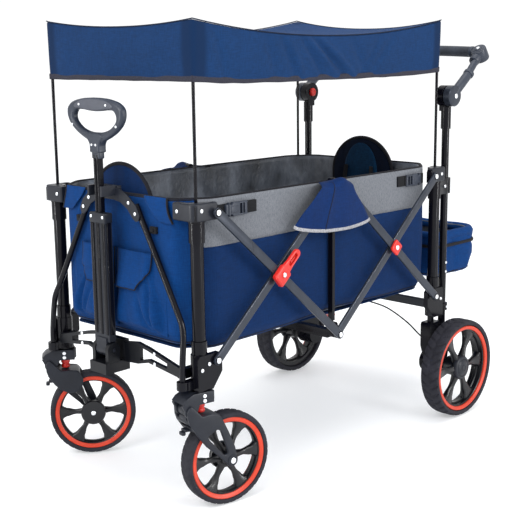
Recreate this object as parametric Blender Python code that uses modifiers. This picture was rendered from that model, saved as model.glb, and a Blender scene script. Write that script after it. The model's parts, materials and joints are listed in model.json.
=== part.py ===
"""Folding kids' pull wagon: scissor-sided frame, fabric basket, canopy, pull handle, push bar.

Metres, +Z up, floor at z = 0. The front (pull handle) faces -Y. Everything hangs from the
empty "wagon_centre", which stands under the middle of the basket.
"""
import math

import bmesh
import bpy
from mathutils import Euler, Matrix, Vector

# ---------------------------------------------------------------- driving dimensions
BODY_SHIFT_Y = -0.0970          # basket centre, measured from the middle of the whole length
GAP = 0.0004                    # clearance between pieces that touch
TURN_GAP = 0.0006               # radial clearance of a turning or sliding fit

POST_X = 0.234                  # corner posts
POST_Y = 0.4127
POST_R = 0.014
INNER_POST_R = 0.0118
POST_BORE_R = 0.0124
POLE_R = 0.0035

PIVOT_Y = 0.383                 # scissor pivots on the corner brackets
PIVOT_TOP = 0.631
PIVOT_BOTTOM = 0.322
MID_BOTTOM = 0.300              # lower middle pivot
CROSS_Z = (PIVOT_TOP + PIVOT_BOTTOM) / 2
MID_TOP = 2 * CROSS_Z - MID_BOTTOM
CROSS_Y = PIVOT_Y * (CROSS_Z - MID_BOTTOM) / ((PIVOT_TOP - CROSS_Z) + (CROSS_Z - MID_BOTTOM))

BRACKET_FACE = 0.2530           # outer face of the brackets
ARM_T = 0.0070                  # arm thickness
ARM_R = 0.0100                  # half an arm's width, and the radius of its ends
INNER_ARM = BRACKET_FACE + 0.0008
OUTER_ARM = INNER_ARM + ARM_T + 0.0008
PIN_R = 0.0030

BRACKET_LOW = 0.2625            # underside of the lower brackets
BRACKET_HIGH = 0.650            # top of the upper brackets
SLEEVE_LOW = 0.366
SLEEVE_HIGH = 0.570

RIM_Z = 0.658                   # basket
FLOOR_Z = 0.336
WALL = 0.006
SIDE_X = 0.2290
SIDE_Y = 0.3900
END_X = 0.2130
END_Y = 0.4280

CANOPY_X = 0.240
CANOPY_Y = 0.4160
CANOPY_LOW = 0.8915
CANOPY_HIGH = 1.013
CANOPY_SAG = 0.024

FRONT_R = 0.1016                # front wheels, 8 inch
FRONT_W = 0.037
REAR_R = 0.1270                 # rear wheels, 10 inch
REAR_W = 0.052
REAR_FACE = 0.319
REAR_AXLE_Y = 0.4446
WHEEL_SIDES = 30
TUBE_ROUNDNESS = 2
SPOKES = 6

TRAIL = 0.058                   # caster
FORK_PIVOT_Y = -0.035
FORK_PIVOT_Z = 0.226
STEER = {"R": math.radians(-11), "L": math.radians(-36)}

PUSH_Y = 0.457                  # push handle
PUSH_R = 0.0098
PUSH_HUB_Z = 0.828
PUSH_HUB_R = 0.0265
GRIP_Y = 0.597
GRIP_Z = 0.932

PULL_Y = -0.472                 # pull handle
PULL_PIVOT_Z = 0.318

SIDES = (("R", 1), ("L", -1))

# ---------------------------------------------------------------- scene and materials
for old in list(bpy.data.objects):
    bpy.data.objects.remove(old, do_unlink=True)

PARTS = bpy.data.collections.new("kids_pull_wagon")
CUTTERS = bpy.data.collections.new("cutters")
bpy.context.scene.collection.children.link(PARTS)
bpy.context.scene.collection.children.link(CUTTERS)


def material(name, colour, roughness, metallic=0.0):
    mat = bpy.data.materials.new(name)
    mat.use_nodes = True
    shader = mat.node_tree.nodes["Principled BSDF"]
    shader.inputs["Base Color"].default_value = (*colour, 1.0)
    shader.inputs["Roughness"].default_value = roughness
    shader.inputs["Metallic"].default_value = metallic
    return mat


BLACK_METAL = material("black_metal", (0.018, 0.019, 0.024), 0.42, 0.3)
GREY_METAL = material("grey_metal", (0.10, 0.11, 0.13), 0.45, 0.3)
PLASTIC = material("charcoal_plastic", (0.035, 0.038, 0.045), 0.55)
RED = material("red_plastic", (0.75, 0.05, 0.03), 0.4)
RUBBER = material("tyre_rubber", (0.03, 0.03, 0.035), 0.85)
NAVY = material("navy_fabric", (0.012, 0.045, 0.14), 0.9)
BLUE = material("blue_fabric", (0.010, 0.075, 0.27), 0.9)
CABLE = material("cable_sheath", (0.02, 0.02, 0.02), 0.5)


def empty(name, location, parent=None, turn=0.0):
    obj = bpy.data.objects.new(name, None)
    obj.empty_display_size = 0.03
    obj.location = location
    obj.rotation_euler = (0.0, 0.0, turn)
    obj.parent = parent
    PARTS.objects.link(obj)
    return obj


WAGON = empty("wagon_centre", (0.0, BODY_SHIFT_Y, 0.0))


# ---------------------------------------------------------------- solids
def from_bmesh(name, bm, rotation=None, location=(0, 0, 0)):
    """A loose mesh object, with its shape already turned and moved into place."""
    turn = Euler(rotation or (0, 0, 0)).to_matrix().to_4x4()
    bm.transform(Matrix.Translation(Vector(location)) @ turn)
    mesh = bpy.data.meshes.new(name)
    bm.to_mesh(mesh)
    bm.free()
    return bpy.data.objects.new(name, mesh)


def box(low, high):
    """A box from its lowest to its highest corner."""
    bm = bmesh.new()
    bmesh.ops.create_cube(bm, size=1.0)
    size = [high[i] - low[i] for i in range(3)]
    centre = [(high[i] + low[i]) / 2 for i in range(3)]
    bmesh.ops.scale(bm, vec=size, verts=bm.verts)
    return from_bmesh("box", bm, None, centre)


def rod(start, end, radius, sides=12):
    """A round bar between two points."""
    start = Vector(start)
    end = Vector(end)
    along = end - start
    bm = bmesh.new()
    bmesh.ops.create_cone(bm, cap_ends=True, segments=sides, radius1=radius, radius2=radius,
                          depth=along.length)
    bmesh.ops.rotate(bm, verts=bm.verts, cent=(0, 0, 0),
                     matrix=Matrix.Rotation(math.pi / sides, 3, "Z"))
    turn = along.to_track_quat("Z", "Y").to_euler()
    return from_bmesh("rod", bm, turn, (start + end) / 2)


def curve_mesh(curve):
    """Turns a curve into a closed mesh object."""
    holder = bpy.data.objects.new("curve", curve)
    CUTTERS.objects.link(holder)
    bpy.context.view_layer.update()
    graph = bpy.context.evaluated_depsgraph_get()
    mesh = bpy.data.meshes.new_from_object(holder.evaluated_get(graph))
    bpy.data.objects.remove(holder)
    bm = bmesh.new()
    bm.from_mesh(mesh)
    bmesh.ops.remove_doubles(bm, verts=bm.verts, dist=0.00001)
    bm.to_mesh(mesh)
    bm.free()
    return mesh


def outline_curve(outline, thickness):
    curve = bpy.data.curves.new("outline", "CURVE")
    curve.dimensions = "2D"
    curve.fill_mode = "BOTH"
    curve.extrude = thickness / 2
    spline = curve.splines.new("POLY")
    spline.points.add(len(outline) - 1)
    for point, (u, v) in zip(spline.points, outline):
        point.co = (u, v, 0.0, 1.0)
    spline.use_cyclic_u = True
    return curve


def plate(outline, low, high, plane="YZ"):
    """A flat outline in the YZ, XZ or XY plane, as thick as low to high along the third axis."""
    mesh = curve_mesh(outline_curve(outline, abs(high - low)))
    middle = (low + high) / 2
    if plane == "YZ":
        place = Matrix.Translation((middle, 0, 0)) @ Matrix(((0, 0, 1), (1, 0, 0), (0, 1, 0))).to_4x4()
    elif plane == "XZ":
        place = Matrix.Translation((0, middle, 0)) @ Matrix(((1, 0, 0), (0, 0, -1), (0, 1, 0))).to_4x4()
    else:
        place = Matrix.Translation((0, 0, middle))
    mesh.transform(place)
    return bpy.data.objects.new("plate", mesh)


def bent_rod(points, radius):
    """A tube along a smooth line through the points."""
    curve = bpy.data.curves.new("tube", "CURVE")
    curve.dimensions = "3D"
    curve.bevel_depth = radius
    curve.bevel_resolution = TUBE_ROUNDNESS
    curve.use_fill_caps = True
    spline = curve.splines.new("POLY")
    spline.points.add(len(points) - 1)
    for point, place in zip(spline.points, points):
        point.co = (*place, 1.0)
    return bpy.data.objects.new("tube", curve_mesh(curve))


def smooth_line(knots, steps):
    """Points on a Catmull-Rom curve through the knots."""
    line = []
    ends = [knots[0]] + list(knots) + [knots[-1]]
    for a, b, c, d in zip(ends, ends[1:], ends[2:], ends[3:]):
        a, b, c, d = (Vector(p) for p in (a, b, c, d))
        for k in range(steps):
            t = k / steps
            line.append(0.5 * (2 * b + (c - a) * t + (2 * a - 5 * b + 4 * c - d) * t * t
                               + (3 * b - a - 3 * c + d) * t ** 3))
    line.append(Vector(knots[-1]))
    return line


def arc(centre, radius, start, end, steps):
    """Outline points on an arc, in degrees, anticlockwise."""
    points = []
    for k in range(steps + 1):
        angle = math.radians(start + (end - start) * k / steps)
        points.append((centre[0] + radius * math.cos(angle), centre[1] + radius * math.sin(angle)))
    return points


def ring(outline, sides):
    """Turns a closed outline of (radius, height) about Z with a Screw modifier."""
    mesh = bpy.data.meshes.new("ring")
    count = len(outline)
    points = [(r, 0.0, h) for r, h in outline]
    mesh.from_pydata(points, [(k, (k + 1) % count) for k in range(count)], [])
    obj = bpy.data.objects.new("ring", mesh)
    screw = obj.modifiers.new("turn", "SCREW")
    screw.angle = 2 * math.pi
    screw.steps = sides
    screw.render_steps = sides
    screw.use_merge_vertices = True
    screw.merge_threshold = 0.00001
    CUTTERS.objects.link(obj)
    bpy.context.view_layer.update()
    graph = bpy.context.evaluated_depsgraph_get()
    turned = bpy.data.meshes.new_from_object(obj.evaluated_get(graph))
    bpy.data.objects.remove(obj)
    bm = bmesh.new()
    bm.from_mesh(turned)
    bmesh.ops.remove_doubles(bm, verts=bm.verts, dist=0.00001)
    bmesh.ops.recalc_face_normals(bm, faces=bm.faces)
    bmesh.ops.rotate(bm, verts=bm.verts, cent=(0, 0, 0),
                     matrix=Matrix.Rotation(math.pi / sides, 3, "Z"))
    bm.to_mesh(turned)
    bm.free()
    return bpy.data.objects.new("ring", turned)


def turned_to_x(obj):
    """Lays a solid that was turned about Z onto the X axis."""
    obj.data.transform(Matrix.Rotation(math.pi / 2, 4, "Y"))
    return obj


def moved(obj, place):
    obj.data.transform(Matrix.Translation(Vector(place)))
    return obj


def flipped(obj, sign):
    """The same solid on the other side of the wagon when sign is -1."""
    if sign < 0:
        obj.data.transform(Matrix.Scale(-1, 4, (1, 0, 0)))
        obj.data.flip_normals()
    return obj


def part(name, mat, joined, cut=(), parent=WAGON, origin=(0, 0, 0), sign=1, bevel=0.0):
    """One named piece: the first solid, joined with the rest and cut by the cutters.

    Shapes are given in the frame of the parent. The piece's origin goes to the given place.
    """
    solids = [flipped(solid, sign) for solid in joined]
    cutters = [flipped(cutter, sign) for cutter in cut]
    away = Matrix.Translation(-Vector(origin))
    body = solids[0]
    body.name = name
    body.data.name = name
    body.data.materials.clear()
    body.data.materials.append(mat)
    for solid in solids + cutters:
        solid.data.transform(away)
        solid.parent = parent
        solid.location = origin
    PARTS.objects.link(body)
    for operation, helpers in (("UNION", solids[1:]), ("DIFFERENCE", cutters)):
        for k, helper in enumerate(helpers):
            helper.name = name + "_" + operation.lower() + str(k)
            helper.hide_render = True
            helper.display_type = "WIRE"
            CUTTERS.objects.link(helper)
            boolean = body.modifiers.new(operation.lower() + str(k), "BOOLEAN")
            boolean.operation = operation
            boolean.object = helper
            boolean.solver = "EXACT"
    if bevel:
        edge = body.modifiers.new("edges", "BEVEL")
        edge.width = bevel
        edge.segments = 1
        edge.limit_method = "ANGLE"
    body.data.shade_smooth()
    body.data.set_sharp_from_angle(angle=math.radians(35))
    return body


# ---------------------------------------------------------------- scissor sides
def arm_outline(start, end):
    """A bar with round ends, from one pivot to another."""
    along = math.degrees(math.atan2(end[1] - start[1], end[0] - start[0]))
    return (arc(start, ARM_R, along + 90, along + 270, 6)
            + arc(end, ARM_R, along - 90, along + 90, 6))


def pin(place, low, high, radius=PIN_R):
    return rod((low, *place), (high, *place), radius, 10)


def arm(name, sign, start, end, layer, pins, holes, origin):
    solids = [plate(arm_outline(start, end), layer, layer + ARM_T)]
    for place, low in pins:
        solids.append(pin(place, low, layer + ARM_T / 2))
    cutters = [pin(place, layer - 0.002, layer + ARM_T + 0.002, PIN_R + TURN_GAP) for place in holes]
    part(name, GREY_METAL, solids, cutters, origin=(sign * layer, *origin), sign=sign)


FRONT_TOP = (-PIVOT_Y, PIVOT_TOP)
FRONT_LOW = (-PIVOT_Y, PIVOT_BOTTOM)
FRONT_CROSS = (-CROSS_Y, CROSS_Z)
REAR_TOP = (PIVOT_Y, PIVOT_TOP)
REAR_LOW = (PIVOT_Y, PIVOT_BOTTOM)
REAR_CROSS = (CROSS_Y, CROSS_Z)
MIDDLE_TOP = (0.0, MID_TOP)
MIDDLE_LOW = (0.0, MID_BOTTOM)
PIN_DEEP = BRACKET_FACE - 0.008


def scissor_side(side, sign):
    through = INNER_ARM - 0.0002
    arm("arm_front_rising_" + side, sign, FRONT_LOW, MIDDLE_TOP, INNER_ARM,
        [(FRONT_LOW, PIN_DEEP)], [FRONT_CROSS, MIDDLE_TOP], FRONT_LOW)
    arm("arm_front_falling_" + side, sign, FRONT_TOP, MIDDLE_LOW, OUTER_ARM,
        [(FRONT_TOP, PIN_DEEP), (FRONT_CROSS, through), (MIDDLE_LOW, PIN_DEEP)], [], FRONT_CROSS)
    arm("arm_rear_falling_" + side, sign, MIDDLE_TOP, REAR_LOW, OUTER_ARM,
        [(MIDDLE_TOP, PIN_DEEP), (REAR_CROSS, through), (REAR_LOW, PIN_DEEP)], [], MIDDLE_TOP)
    arm("arm_rear_rising_" + side, sign, MIDDLE_LOW, REAR_TOP, INNER_ARM,
        [(REAR_TOP, PIN_DEEP)], [MIDDLE_LOW, REAR_CROSS], REAR_CROSS)
    strut_in = 0.2330
    strut_out = 0.2510
    strut_low = 0.3305
    part("mid_strut_" + side, BLACK_METAL,
         [box((strut_in, -0.0045, strut_low), (0.2465, 0.0045, MID_TOP - 0.012)),
          plate(arm_outline((0, MID_TOP - 0.018), MIDDLE_TOP), strut_in, strut_out)],
         [box((0.2350, -0.0030, strut_low - 0.01), (0.2447, 0.0030, 0.625)),
          pin(MIDDLE_TOP, strut_out - 0.009, strut_out + 0.01, PIN_R + TURN_GAP)],
         origin=(sign * strut_out, *MIDDLE_TOP), sign=sign)
    latch_line = Vector((math.cos(math.radians(41)), math.sin(math.radians(41))))
    cross = Vector(FRONT_CROSS)
    tail = cross - latch_line * 0.026
    tip = cross + latch_line * 0.072
    face = OUTER_ARM + ARM_T + 0.0006
    outline = (arc(tail, 0.017, 131, 311, 6) + arc(tip, 0.0085, -49, 131, 5))
    part("scissor_latch_" + side, RED,
         [plate(outline, face, face + 0.010), pin(cross, face + 0.002, face + 0.014, 0.011)],
         origin=(sign * face, *FRONT_CROSS), sign=sign)


def mid_floor_beam():
    """Cross beam under the basket, with a guide rod up each side."""
    solids = [box((-0.2350, -0.0090, 0.2880), (0.2350, 0.0090, 0.3080))]
    cutters = []
    for sign in (1, -1):
        ends = arm_outline((0.0, 0.318), MIDDLE_LOW)
        solids.append(flipped(plate(ends, 0.2330, 0.2515), sign))
        solids.append(flipped(box((0.2358, -0.0023, 0.325), (0.2439, 0.0023, 0.615)), sign))
        cutters.append(flipped(pin(MIDDLE_LOW, PIN_DEEP - 0.001, 0.26, PIN_R + TURN_GAP), sign))
    part("mid_floor_beam", BLACK_METAL, solids, cutters, origin=(OUTER_ARM, *MIDDLE_LOW))


# ---------------------------------------------------------------- corner brackets and posts
def inner_post(sign_y):
    """Lower post tube and the bore that takes the canopy pole."""
    y = sign_y * POST_Y
    tube = rod((POST_X, y, 0.300), (POST_X, y, 0.600), INNER_POST_R)
    bore = rod((POST_X, y, 0.368), (POST_X, y, 0.610), 0.0088, 10)
    return tube, bore


def lower_bracket_solids(sign_y):
    y = sign_y * POST_Y
    tube, bore = inner_post(sign_y)
    cheek = [(0.0215, BRACKET_LOW), (-0.0200, BRACKET_LOW), (-0.0467, 0.296), (-0.0467, 0.332),
             (-0.0390, 0.338), (0.0160, 0.338), (0.0215, 0.330)]
    outline = [(sign_y * (POST_Y + dy), z) for dy, z in cheek]
    solids = [rod((POST_X, y, BRACKET_LOW), (POST_X, y, 0.338), 0.0188),
              plate(outline, 0.2400, BRACKET_FACE),
              rod((POST_X, y, 0.330), (POST_X, y, SLEEVE_LOW), 0.0165),
              tube]
    pivot = (sign_y * PIVOT_Y, PIVOT_BOTTOM)
    cutters = [bore, pin(pivot, PIN_DEEP - 0.001, 0.26, PIN_R + TURN_GAP)]
    return solids, cutters


TUBE_FOOT = (0.2250, -0.4530)


def front_lower_bracket(side, sign):
    solids, cutters = lower_bracket_solids(-1)
    solids.append(rod((*TUBE_FOOT, 0.2680), (*TUBE_FOOT, 0.2860), 0.0125))
    solids.append(box((0.2200, -0.4500, 0.2680), (0.2400, -0.4200, 0.2860)))
    cutters.append(rod((*TUBE_FOOT, 0.2720), (*TUBE_FOOT, 0.2900), 0.0072))
    cutters.append(rod((POST_X, -POST_Y, 0.250), (POST_X, -POST_Y, 0.292), 0.0068))
    part("front_lower_bracket_" + side, BLACK_METAL, solids, cutters, sign=sign,
         origin=(sign * POST_X, -POST_Y, BRACKET_LOW))


def rear_lower_bracket(side, sign):
    """Lower corner casting with the leg, the brake housing and the wheel's axle stub."""
    solids, cutters = lower_bracket_solids(1)
    post = (POST_X, PUSH_Y)
    solids.append(rod((*post, 0.2700), (*post, 0.2880), 0.0150))
    solids.append(box((0.2240, 0.4250, 0.2700), (0.2440, 0.4450, 0.2880)))
    cutters.append(rod((*post, 0.2600), (*post, 0.3000), PUSH_R + 0.0003))
    solids.append(rod((0.230, 0.4130, 0.2400), (0.230, 0.4130, 0.2700), 0.0085))
    axle = (REAR_AXLE_Y, REAR_R)
    housing = ([(0.3965, 0.2440), (0.3930, 0.2380), (0.3930, 0.1800)]
               + arc(axle, 0.0290, 190, 360, 9)
               + [(0.4800, 0.1560), (0.4740, 0.1700), (0.4640, 0.1740),
                  (0.4440, 0.1960), (0.4420, 0.2380), (0.4380, 0.2440)])
    solids.append(plate(housing, 0.2130, 0.2430))
    solids.append(rod((0.1930, *axle), (0.2140, *axle), 0.0280, 16))
    solids.append(rod((0.2400, *axle), (REAR_FACE - 0.0155, *axle), 0.0060))
    part("rear_lower_bracket_" + side, BLACK_METAL, solids, cutters, sign=sign,
         origin=(sign * POST_X, POST_Y, BRACKET_LOW))


def upper_bracket(name, sign, sign_y, clamp):
    y = sign_y * POST_Y
    cheek = [(0.0200, 0.6150), (-0.0440, 0.6150), (-0.0440, 0.6420), (-0.0390, BRACKET_HIGH),
             (0.0140, BRACKET_HIGH), (0.0200, 0.6440)]
    outline = [(sign_y * (POST_Y + dy), z) for dy, z in cheek]
    solids = [rod((POST_X, y, 0.6120), (POST_X, y, BRACKET_HIGH), 0.0185),
              plate(outline, 0.2400, BRACKET_FACE),
              rod((POST_X, y, SLEEVE_HIGH), (POST_X, y, 0.6200), 0.0168),
              rod((POST_X, y, SLEEVE_LOW + 0.0006), (POST_X, y, 0.6000), POST_R)]
    pivot = (sign_y * PIVOT_Y, PIVOT_TOP)
    cutters = [rod((POST_X, y, 0.300), (POST_X, y, 0.6300), POST_BORE_R),
               rod((POST_X, y, 0.6200), (POST_X, y, 0.6600), POLE_R + TURN_GAP + 0.0003, 8),
               pin(pivot, PIN_DEEP - 0.001, 0.26, PIN_R + TURN_GAP)]
    if clamp:
        post = (POST_X, PUSH_Y)
        solids.append(rod((*post, 0.5800), (*post, 0.6200), 0.0155))
        solids.append(box((0.2200, 0.4127, 0.5800), (0.2480, 0.4500, 0.6200)))
        cutters.append(rod((*post, 0.5700), (*post, 0.6300), PUSH_R + TURN_GAP))
    part(name, BLACK_METAL, solids, cutters, sign=sign, origin=(sign * POST_X, y, PIVOT_TOP))


# ---------------------------------------------------------------- wheels
def tyre(radius, width, bore):
    """Tyre with a flat tread and rounded shoulders; its lowest facet is flat on the floor."""
    outer = radius / math.cos(math.pi / WHEEL_SIDES)
    half = width / 2
    wall = outer - bore
    outline = [(bore, half), (bore, -half), (bore + wall * 0.66, -half * 0.95), (outer, -half * 0.60),
               (outer, half * 0.60), (bore + wall * 0.66, half * 0.95)]
    return turned_to_x(ring(outline, WHEEL_SIDES))


def rim(radius, width, hub_r, hub_low, hub_high, bore):
    """Rim, hub and bladed spokes about the X axis."""
    half = width / 2
    shell = radius * 0.105
    outline = [(radius, half), (radius - shell, half), (radius - shell, -half), (radius, -half)]
    solids = [turned_to_x(ring(outline, WHEEL_SIDES)),
              rod((hub_low, 0, 0), (hub_high, 0, 0), hub_r, 16)]
    for k in range(SPOKES):
        blade = plate([(-0.0055, hub_r * 0.8), (0.0055, hub_r * 0.8), (0.0125, radius - shell * 0.5),
                       (-0.0125, radius - shell * 0.5)], -width * 0.24, width * 0.24)
        blade.data.transform(Matrix.Rotation(2 * math.pi * (k + 0.5) / SPOKES, 4, "X"))
        solids.append(blade)
    cutters = [rod((hub_low - 0.01, 0, 0), (hub_high + (0.01 if bore[1] else -0.012), 0, 0),
                   bore[0] + TURN_GAP, 12)]
    return solids, cutters


def rear_wheel(side, sign):
    middle = REAR_FACE - REAR_W / 2
    place = (sign * middle, REAR_AXLE_Y, REAR_R)
    bore = REAR_R - 0.0140
    part("rear_tyre_" + side, RUBBER, [moved(tyre(REAR_R, REAR_W, bore), (middle, *place[1:]))],
         origin=place, sign=sign)
    solids, cutters = rim(bore - GAP, REAR_W * 0.74, 0.0235, -0.0275, 0.0240, (0.0060, False))
    part("rear_rim_" + side, PLASTIC, [moved(s, (middle, *place[1:])) for s in solids],
         [moved(c, (middle, *place[1:])) for c in cutters], origin=place, sign=sign)


# ---------------------------------------------------------------- casters
def caster(side, sign):
    """Swivel head, sprung fork and wheel, about the post's axis, rolling along its own +Y."""
    swivel = empty("caster_swivel_" + side, (sign * POST_X, -POST_Y, 0.0), WAGON, STEER[side])
    top = BRACKET_LOW - GAP
    head_outline = ([(0.0200, top), (-0.0300, top), (-0.0560, 0.2400)]
                    + arc((FORK_PIVOT_Y, FORK_PIVOT_Z), 0.0155, 170, 330, 8)
                    + [(-0.0150, 0.2370), (0.0200, 0.2370)])
    knuckle = 0.0140
    fork_slot = box((-knuckle - 0.0008, -0.0700, 0.1900),
                    (knuckle + 0.0008, FORK_PIVOT_Y + 0.0165, FORK_PIVOT_Z + 0.0170))
    part("caster_head_" + side, PLASTIC,
         [plate(head_outline, -0.0235, 0.0235), rod((0, 0, 0.240), (0, 0, 0.290), 0.0060),
          rod((0, 0, 0.2370), (0, 0, top), 0.0235, 14)],
         [fork_slot, pin((FORK_PIVOT_Y, FORK_PIVOT_Z), -0.03, 0.03, 0.0036)], parent=swivel)
    part("caster_bumper_" + side, RED, [rod((0, -0.002, 0.2135), (0, -0.002, 0.2365), 0.0105)],
         parent=swivel, cut=[ring_groove()])
    axle = (TRAIL, FRONT_R)
    leg = (arc((FORK_PIVOT_Y, FORK_PIVOT_Z), 0.0130, 100, 190, 4)
           + [(-0.0430, 0.2000), (-0.0040, 0.1440)] + arc(axle, 0.0135, 215, 385, 8)
           + [(0.0370, 0.1950), (0.0240, 0.2120), (-0.0120, 0.2120)])
    window = [(0.0000, 0.1640), (0.0220, 0.1760), (0.0300, 0.1720), (0.0480, 0.1210),
              (0.0380, 0.1180)]
    leg_in = FRONT_W / 2 + 0.0035
    leg_out = leg_in + 0.0075
    crown = [(-0.0150, 0.2130), (-0.0430, 0.2100), (-0.0400, 0.1960), (0.0310, 0.2035),
             (0.0240, 0.2120)]
    cheek = (arc((FORK_PIVOT_Y, FORK_PIVOT_Z), 0.0130, 100, 190, 4)
             + [(-0.0430, 0.2000), (-0.0200, 0.1680), (0.0150, 0.1560), (0.0330, 0.1700),
                (0.0370, 0.1950), (0.0240, 0.2120), (-0.0120, 0.2120)])
    hub_half = FRONT_W / 2 + 0.0020
    solids = [flipped(plate(leg, leg_in, leg_out), sign), flipped(plate(cheek, -leg_out, -leg_in), sign),
              plate(crown, -leg_out + 0.001, leg_out - 0.001),
              plate(arc((FORK_PIVOT_Y, FORK_PIVOT_Z), 0.0130, 0, 340, 14), -knuckle, knuckle),
              rod((-knuckle, FORK_PIVOT_Y, 0.209), (knuckle, FORK_PIVOT_Y, 0.209), 0.009),
              flipped(rod((-hub_half - 0.003, *axle), (leg_out + 0.002, *axle), 0.0050), sign)]
    cutters = [plate(window, -leg_out - 0.01, leg_out + 0.01),
               pin((FORK_PIVOT_Y, FORK_PIVOT_Z), -0.03, 0.03, 0.0036)]
    for mirror in (1, -1):
        beside = box((knuckle + 0.0008, -0.0700, 0.2090), (0.0500, FORK_PIVOT_Y + 0.0175, 0.2500))
        cutters.append(flipped(beside, mirror))
    part("caster_fork_" + side, PLASTIC, solids, cutters, parent=swivel,
         origin=(0, FORK_PIVOT_Y, FORK_PIVOT_Z))
    bore = FRONT_R - 0.0120
    part("front_tyre_" + side, RUBBER, [moved(tyre(FRONT_R, FRONT_W, bore), (0, *axle))],
         parent=swivel, origin=(0, *axle))
    solids, cutters = rim(bore - GAP, FRONT_W * 0.74, 0.0165, -hub_half, hub_half, (0.0050, True))
    solids.append(flipped(rod((-hub_half, 0, 0), (-0.0110, 0, 0), 0.0295), sign))
    part("front_rim_" + side, PLASTIC, [moved(s, (0, *axle)) for s in solids],
         [moved(c, (0, *axle)) for c in cutters], parent=swivel, origin=(0, *axle))


def ring_groove():
    """Waist cut round the rubber bumper."""
    outline = [(0.0140, 0.0045), (0.0080, 0.0015), (0.0080, -0.0015), (0.0140, -0.0045)]
    return moved(ring(outline, 12), (0, -0.002, 0.2250))


# ---------------------------------------------------------------- pull handle
def front_hubs_and_tubes():
    ears = arc((PULL_Y, PULL_PIVOT_Z), 0.0170, -20, 200, 10) + [(-0.4890, 0.2720), (-0.4560, 0.2720)]
    hub = [box((-0.0260, -0.4440, 0.2720), (0.0260, -0.4290, 0.3360)),
           box((-0.0280, -0.4960, 0.2680), (0.0280, -0.4300, 0.2920))]
    for sign in (1, -1):
        hub.append(flipped(plate(ears, 0.0175, 0.0275), sign))
        beam = [(0.0150, 0.2860), (0.0150, 0.3300), (0.0700, 0.3380), (0.1050, 0.3320),
                (0.2080, 0.3060), (0.2080, 0.2850), (0.1050, 0.2990), (0.0700, 0.2900)]
        outline = beam if sign > 0 else [(-x, z) for x, z in reversed(beam)]
        hub.append(plate(outline, -0.4420, -0.4330, "XZ"))
        hub.append(box((min(sign * 0.1980, sign * 0.2140), -0.4420, 0.2850),
                       (max(sign * 0.1980, sign * 0.2140), -0.4000, 0.3060)))
    window = [(0.0780, 0.2995), (0.1050, 0.3065), (0.1650, 0.2985), (0.1650, 0.3095), (0.1050, 0.3245),
              (0.0780, 0.3295)]
    cutters = [pin((PULL_Y, PULL_PIVOT_Z), -0.04, 0.04, 0.0046)]
    for sign in (1, -1):
        cutters.append(flipped(plate(window, -0.4500, -0.4300, "XZ"), sign))
    part("front_lower_hub", PLASTIC, hub, cutters, origin=(0, PULL_Y, PULL_PIVOT_Z))
    wing = [(0.0200, 0.6420), (0.0200, 0.6680), (0.0420, 0.6660), (0.0640, 0.6550), (0.0900, 0.6350),
            (0.1010, 0.6150), (0.0970, 0.6040), (0.0880, 0.6020), (0.0780, 0.6090), (0.0620, 0.6270),
            (0.0400, 0.6390)]
    upper = [box((-0.0290, -0.4480, 0.6420), (0.0290, -0.4370, 0.6720))]
    for sign in (1, -1):
        outline = wing if sign > 0 else [(-x, z) for x, z in reversed(wing)]
        upper.append(plate(outline, -0.4505, -0.4472, "XZ"))
        prong = box((0.0185, -0.4860, 0.6520), (0.0245, -0.4470, 0.6740))
        upper.append(flipped(prong, sign))
    part("front_upper_hub", PLASTIC, upper, origin=(0, PULL_Y, 0.640))
    for side, sign in SIDES:
        knots = [(0.0800, -0.4400, 0.6360), (0.0981, -0.4400, 0.6060), (0.1328, -0.4405, 0.5472),
                 (0.1776, -0.4415, 0.4852), (0.2023, -0.4425, 0.4407), (0.2200, -0.4440, 0.4140),
                 (0.2262, -0.4460, 0.3930), (0.2270, -0.4490, 0.3500), (*TUBE_FOOT, 0.3000),
                 (*TUBE_FOOT, 0.2725)]
        part("front_bent_tube_" + side, BLACK_METAL, [bent_rod(smooth_line(knots, 2), 0.0065)],
             sign=sign, origin=(sign * TUBE_FOOT[0], TUBE_FOOT[1], 0.2725))


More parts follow.
